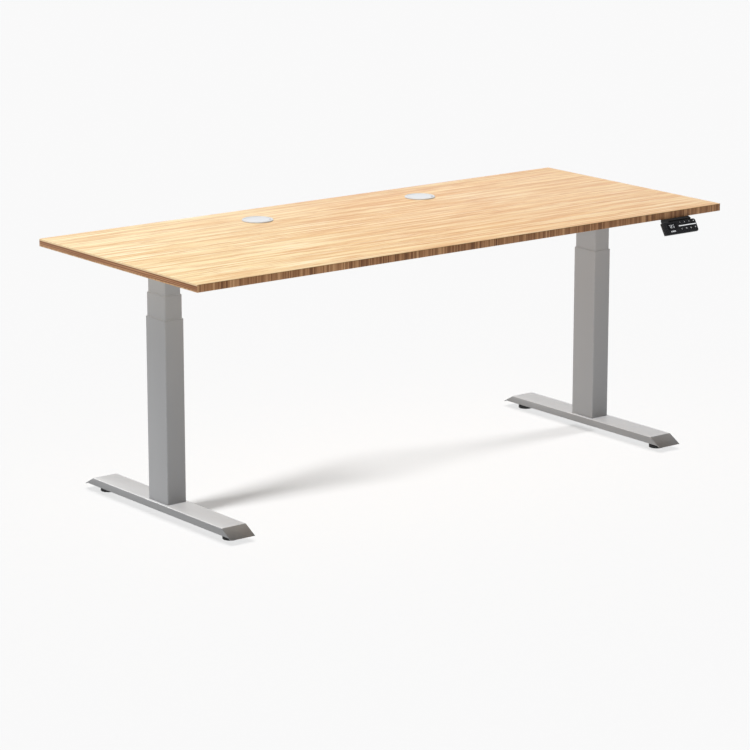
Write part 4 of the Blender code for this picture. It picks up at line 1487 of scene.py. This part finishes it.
@dataclass
class Handset:
    """The handset: case, face, eight keys, reading, rule and printed symbols."""

    shop: Workshop
    lean: float = math.radians(31.0)
    reading: str = "72.5"
    digit_height: float = 0.0090
    digit_width: float = 0.0046
    stroke: float = 0.0009
    digit_gap: float = 0.0020
    reading_left: float = -0.0406
    reading_base: float = 0.0004
    point_size: float = 0.0012
    point_step: float = 0.0017
    rule: tuple[float, float, float, float] = (-0.0035, 0.0617, 0.0021, 0.0045)
    unit_place: Point = (-0.0295, -0.0093)
    unit_size: float = 0.0078
    unit_stretch: float = 1.9
    mark_size: float = 0.0052
    sign_stretch: float = 1.2
    film: float = 0.00008

    def build(self) -> None:
        """Dress the handset and print its face."""
        for node in ("handset_case", "handset_face", "handset_board", "display_lens"):
            self.shop.dress(node)
        for row in (1, 2):
            for column in (1, 2, 3, 4):
                self.shop.dress(f"key_{row}_{column}")
        face = self._face()
        self._print_reading(face)
        self._print_rule(face)
        self._print_unit(face)
        self._print_symbols(face)
        self._screws()

    def _face(self) -> Matrix:
        """Return the face's place.

        Returns:
            X along the face, Y up its slope and Z out of it.
        """
        low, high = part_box("handset_face")
        middle = (low + high) / 2
        slope = Vector((0.0, math.sin(self.lean), math.cos(self.lean)))
        out = Vector((1.0, 0.0, 0.0)).cross(slope)
        case_low, case_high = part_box("handset_case")
        origin = middle - slope * 0.00025 + out * 0.0009
        origin.x = (case_low.x + case_high.x) / 2
        return facing(out, origin)

    def _print(self, name: str, mesh: bpy.types.Mesh, coat: Coat, body: str = "top") -> None:
        """Add a printed mark."""
        self.shop.add(name, mesh, coat, body, slot=Coat.DISPLAY if coat is Coat.LIT else Coat.FACE_PLATE)

    def _print_reading(self, face: Matrix) -> None:
        """Build the lit digits of the height reading.

        Args:
            face: The face's place.
        """
        shape = bmesh.new()
        x = self.reading_left
        base = self.reading_base
        for mark in self.reading:
            if mark == ".":
                left = x - self.point_size / 2
                right = x + self.point_size / 2
                top = base + self.point_size
                outline = [(left, base), (right, base), (right, top), (left, top)]
                slab(shape, outline, LIFT_OFF, self.film, 0.0, face)
                x += self.point_step
                continue
            for segment in SEGMENTS[mark]:
                outline = [self._slant(point, x, base) for point in self._segment(segment)]
                slab(shape, outline, LIFT_OFF, self.film, 0.0, face)
            x += self.digit_width + self.digit_gap
        self._print("reading", settle(shape, "reading"), Coat.LIT)

    def _slant(self, point: Point, x: float, base: float) -> Point:
        """Return a digit's point, leaning a little to the right."""
        return x + point[0] + 0.10 * point[1], base + point[1]

    def _segment(self, letter: str) -> list[Point]:
        """Return one bar of a seven-bar digit, as a stretched hexagon.

        Args:
            letter: The bar, from a at the top round to g.

        Returns:
            Its outline.
        """
        wide = self.digit_width
        tall = self.digit_height
        half = self.stroke / 2
        inset = half + 0.00012
        level = {"a": tall - half, "g": tall / 2, "d": half}
        if letter in level:
            y = level[letter]
            left = half + inset
            right = wide - half - inset
            return [
                (left - half, y), (left, y - half), (right, y - half),
                (right + half, y), (right, y + half), (left, y + half),
            ]
        x = half if letter in "ef" else wide - half
        low = half if letter in "ce" else tall / 2
        high = tall / 2 if letter in "ce" else tall - half
        low += inset
        high -= inset
        return [
            (x, low - half), (x + half, low), (x + half, high),
            (x, high + half), (x - half, high), (x - half, low),
        ]

    def _print_rule(self, face: Matrix) -> None:
        """Build the white line between the two rows of keys.

        Args:
            face: The face's place.
        """
        shape = bmesh.new()
        slab(shape, rounded_box(*self.rule, 0.0004), LIFT_OFF, self.film, 0.0, face)
        self._print("face_rule", settle(shape, "face_rule"), Coat.LIT)

    def _print_unit(self, face: Matrix) -> None:
        """Build the unit below the display."""
        middle = Vector((*self.unit_place, LIFT_OFF))
        mesh = self._letters("cm", self.unit_size, middle, face, self.unit_stretch)
        self._print("unit_mark", mesh, Coat.LIT)

    def _letters(
        self,
        text: str,
        size: float,
        at: Vector,
        face: Matrix,
        stretch: float = 1.0,
    ) -> bpy.types.Mesh:
        """Return letters or numbers as a thin mesh.

        Args:
            text: The letters.
            size: Their size.
            at: Their middle on the face.
            face: The face's place.
            stretch: How much wider than usual they are.

        Returns:
            The mesh.
        """
        curve = bpy.data.curves.new(text, "FONT")
        curve.body = text
        curve.size = size
        curve.align_x = "CENTER"
        curve.align_y = "CENTER"
        curve.extrude = self.film / 2
        curve.offset = size * 0.02
        curve.resolution_u = 3
        holder = bpy.data.objects.new(text, curve)
        bpy.context.scene.collection.objects.link(holder)
        bpy.context.view_layer.update()
        mesh = bpy.data.meshes.new_from_object(holder.evaluated_get(bpy.context.evaluated_depsgraph_get()))
        bpy.data.objects.remove(holder, do_unlink=True)
        shape = bmesh.new()
        shape.from_mesh(mesh)
        bpy.data.meshes.remove(mesh)
        place = face @ Matrix.Translation(at + Vector((0.0, 0.0, self.film / 2)))
        return settle(shape, "letters", place @ Matrix.Diagonal((stretch, 1.0, 1.0, 1.0)))

    def _print_symbols(self, face: Matrix) -> None:
        """Put a number or a sign on each key.

        Args:
            face: The face's place.
        """
        marks: tuple[tuple[str, ...], ...] = (("1", "2", "3", "up"), ("timer", "M", "lock", "down"))
        for row, names in enumerate(marks, start=1):
            for column, mark in enumerate(names, start=1):
                key = f"key_{row}_{column}"
                low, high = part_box(key)
                local = face.inverted() @ ((low + high) / 2)
                spot = Vector((local.x, local.y, 0.0004 + LIFT_OFF))
                name = f"symbol_{row}_{column}"
                if len(mark) == 1:
                    self._print(name, self._letters(mark, self.mark_size, spot, face), Coat.INK, key)
                    continue
                shape = bmesh.new()
                spread = Matrix.Diagonal((self.sign_stretch, self.sign_stretch, 1.0, 1.0))
                place = face @ Matrix.Translation(spot) @ spread
                for outline in self._sign(mark):
                    slab(shape, outline, 0.0, self.film, 0.0, place)
                self._print(name, settle(shape, name), Coat.INK, key)

    @staticmethod
    def _sign(mark: str) -> list[list[Point]]:
        """Return the flat outlines of a sign.

        Args:
            mark: The sign: up, down, lock or timer.

        Returns:
            Its outlines.
        """
        if mark in ("up", "down"):
            way = 1.0 if mark == "up" else -1.0
            return [[(-0.0019 * way, -0.0013 * way), (0.0019 * way, -0.0013 * way), (0.0, 0.0017 * way)]]
        if mark == "lock":
            shackle = arc((0.0, 0.0005), 0.0011, 180.0, 0.0, 10) + arc((0.0, 0.0005), 0.0007, 0.0, 180.0, 10)
            return [[(-0.0014, -0.0016), (0.0014, -0.0016), (0.0014, 0.0004), (-0.0014, 0.0004)], shackle]
        dial = arc((0.0, 0.0), 0.0017, 100.0, 440.0, 28) + arc((0.0, 0.0), 0.0013, 440.0, 100.0, 28)
        hand = [(-0.0002, 0.0), (0.0002, 0.0), (0.0002, 0.0011), (-0.0002, 0.0011)]
        return [dial, hand]

    def _screws(self) -> None:
        """Screw the mounting tongue to the desktop from below."""
        _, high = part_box("handset_case")
        head = ScrewHead(radius=0.0034, height=0.0018)
        for number, x in enumerate((high.x - 0.064, high.x - 0.036), start=1):
            seat = Vector((x, high.y - 0.0090, high.z - 0.0039))
            mesh = head.mesh("handset_screw", facing(Vector((0.0, 0.0, -1.0)), seat))
            self.shop.add(f"handset_screw_{number}", mesh, Coat.STEEL, "top")


# ---------------------------------------------------------------- studio

@dataclass(frozen=True)
class Lamp:
    """A distant lamp, with the pieces it lights and the pieces that shade it."""

    name: str
    strength: float
    width: float
    bearing: tuple[float, float, float]

    def hang(self, lit: bpy.types.Collection, shading: bpy.types.Collection | None = None) -> None:
        """Hang the lamp, aimed along its bearing.

        Args:
            lit: The pieces that it lights.
            shading: The pieces that shade it, or None for all of them.
        """
        light = bpy.data.lights.new(self.name, "SUN")
        light.energy = self.strength
        light.angle = math.radians(self.width)
        lamp = bpy.data.objects.new(self.name, light)
        lamp.rotation_euler = Vector(self.bearing).to_track_quat("-Z", "Y").to_euler()
        lamp.light_linking.receiver_collection = lit
        if shading:
            lamp.light_linking.blocker_collection = shading
            light.cycles.use_multiple_importance_sampling = False
        bpy.context.scene.collection.objects.link(lamp)


def gather(name: str, pieces: Sequence[bpy.types.Object], state: str = "INCLUDE") -> bpy.types.Collection:
    """Return a group of pieces that a lamp includes or leaves out.

    Args:
        name: The group's name.
        pieces: The pieces.
        state: INCLUDE or EXCLUDE.

    Returns:
        The group.
    """
    group = bpy.data.collections.new(name)
    for piece in pieces:
        group.objects.link(piece)
    for member in group.collection_objects:
        member.light_linking.link_state = state
    return group


@dataclass
class Studio:
    """Camera, plain pale floor and soft light."""

    shop: Workshop
    eye: tuple[float, float, float] = (-5.226, -6.671, 2.347)
    gaze: tuple[float, float, float] = (0.59439, 0.76822, -0.23777)
    lens: float = 150.24
    floor_size: float = 120.0
    floor_tone: float = 0.20
    floor_glow: float = 0.02
    backdrop: float = 0.955
    fill: float = 0.10
    gloss_backdrop: float = 1.0
    overhead: Lamp = Lamp("overhead", 3.00, 52.0, (0.05, -0.17, -1.0))
    foot_light: Lamp = Lamp("foot_light", 5.4, 24.0, (0.0, -0.788, -0.616))
    left_fill: Lamp = Lamp("left_fill", 0.76, 40.0, (0.95, 0.10, -0.31))
    left_box: Lamp = Lamp("left_box", 12.6, 17.0, (0.75, 0.035, -0.66))
    right_box: Lamp = Lamp("right_box", 4.2, 16.0, (-0.75, 0.045, -0.66))
    low_box: Lamp = Lamp("low_box", 3.2, 46.0, (0.0, 0.0, -1.0))

    def set_camera(self) -> None:
        """Make the camera."""
        camera = bpy.data.cameras.new("camera")
        camera.lens = self.lens
        camera.sensor_width = 36.0
        camera.clip_end = 300.0
        holder = bpy.data.objects.new("camera", camera)
        holder.location = self.eye
        holder.rotation_euler = Vector(self.gaze).to_track_quat("-Z", "Y").to_euler()
        bpy.context.scene.collection.objects.link(holder)
        bpy.context.scene.camera = holder

    def build(self) -> None:
        """Make the floor, the lights and the surroundings."""
        floor = self._floor()
        feet = [self.shop.nodes["foot_" + side.word] for side in Side]
        names = ("outer_glide_", "middle_glide_")
        glides = [self.shop.nodes[name + side.word] for name in names for side in Side]
        desk_only = gather("all but the floor", [floor], "EXCLUDE")
        floor_only = gather("the floor", [floor])
        self.overhead.hang(gather("all but the floor and the feet", [floor, *feet], "EXCLUDE"))
        self.foot_light.hang(gather("feet and glides", [*feet, *glides]), floor_only)
        all_but_board = gather("all but the board", [self.shop.nodes["desktop"]], "EXCLUDE")
        self.left_fill.hang(desk_only, all_but_board)
        self.low_box.hang(floor_only, gather("feet", feet))
        for lamp, side in ((self.left_box, Side.LEFT), (self.right_box, Side.RIGHT)):
            tubes = ("outer_tube_", "middle_tube_", "inner_tube_")
            column = [self.shop.nodes[tube + side.word] for tube in tubes]
            lamp.hang(floor_only, gather(side.word + " column", column))
        self._surroundings()
        bpy.context.scene.view_settings.view_transform = "Standard"
        LOG.info("set the studio")

    def _floor(self) -> bpy.types.Object:
        """Lay a plain pale floor.

        Returns:
            The floor.
        """
        shape = bmesh.new()
        bmesh.ops.create_grid(shape, x_segments=8, y_segments=8, size=self.floor_size / 2)
        mesh = settle(shape, "floor")
        floor = bpy.data.objects.new("floor", mesh)
        floor.location = (0.0, 0.0, -0.0002)
        bpy.context.scene.collection.objects.link(floor)
        paint = Paint("pale_floor")
        paint.shader.inputs["Emission Strength"].default_value = self.floor_glow
        speck = paint.noise(paint.coordinates("Object"), 40.0, 2.0)
        finish = paint.finish(
            base_color=paint.shaded((self.floor_tone,) * 3, 0.995 + 0.01 * speck),
            roughness=1.0,
            specular_ior_level=0.0,
            emission_color=(1.0, 1.0, 1.0),
        )
        mesh.materials.append(finish)
        return floor

    def _surroundings(self) -> None:
        """Surround the desk with a dim room, and a bright backdrop that only gloss picks up."""
        world = bpy.data.worlds.new("studio")
        world.use_nodes = True
        world.cycles.sampling_method = "NONE"
        bpy.context.scene.world = world
        world.node_tree.nodes.clear()
        graph = Graph(world.node_tree)
        x, y, z = graph.parts(graph.coordinates("Generated"))
        path = graph.node("LightPath")
        glossy = Channel(graph, path.outputs["Is Glossy Ray"])
        seen = Channel(graph, path.outputs["Is Camera Ray"])
        behind = (x * 0.612 + y * 0.791).rise(0.05, 0.75) * (1.0 - z.rise(0.30, 0.85))
        strength = self.fill + glossy * behind * self.gloss_backdrop
        dim = graph.node("Background", None, {"Color": (1.0, 1.0, 1.0), "Strength": strength})
        plain = graph.node("Background", None, {"Color": (1.0, 1.0, 1.0), "Strength": self.backdrop})
        values = {0: seen, 1: Channel(graph, dim.outputs[0]), 2: Channel(graph, plain.outputs[0])}
        both = graph.node("MixShader", None, values)
        graph.node("OutputWorld", None, {"Surface": Channel(graph, both.outputs[0])})


# ---------------------------------------------------------------- the whole desk

def main() -> None:
    """Build the looks around the frame."""
    logging.basicConfig(level=logging.INFO, format="%(name)s: %(message)s")
    for item in list(bpy.data.objects):
        bpy.data.objects.remove(item, do_unlink=True)
    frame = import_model()
    slots = {part["node"]: part["material_slot"] for part in frame["record"]["subparts"]}
    shop = Workshop(frame["nodes"], slots, finishes(), even_shading())
    studio = Studio(shop)
    studio.set_camera()
    Desktop(shop).build()
    for side in Side:
        Leg(shop, side).build()
    Carrier(shop).build()
    ControlBox(shop).build()
    Wiring(shop).build()
    Handset(shop).build()
    studio.build()


if __name__ == "__main__":
    main()
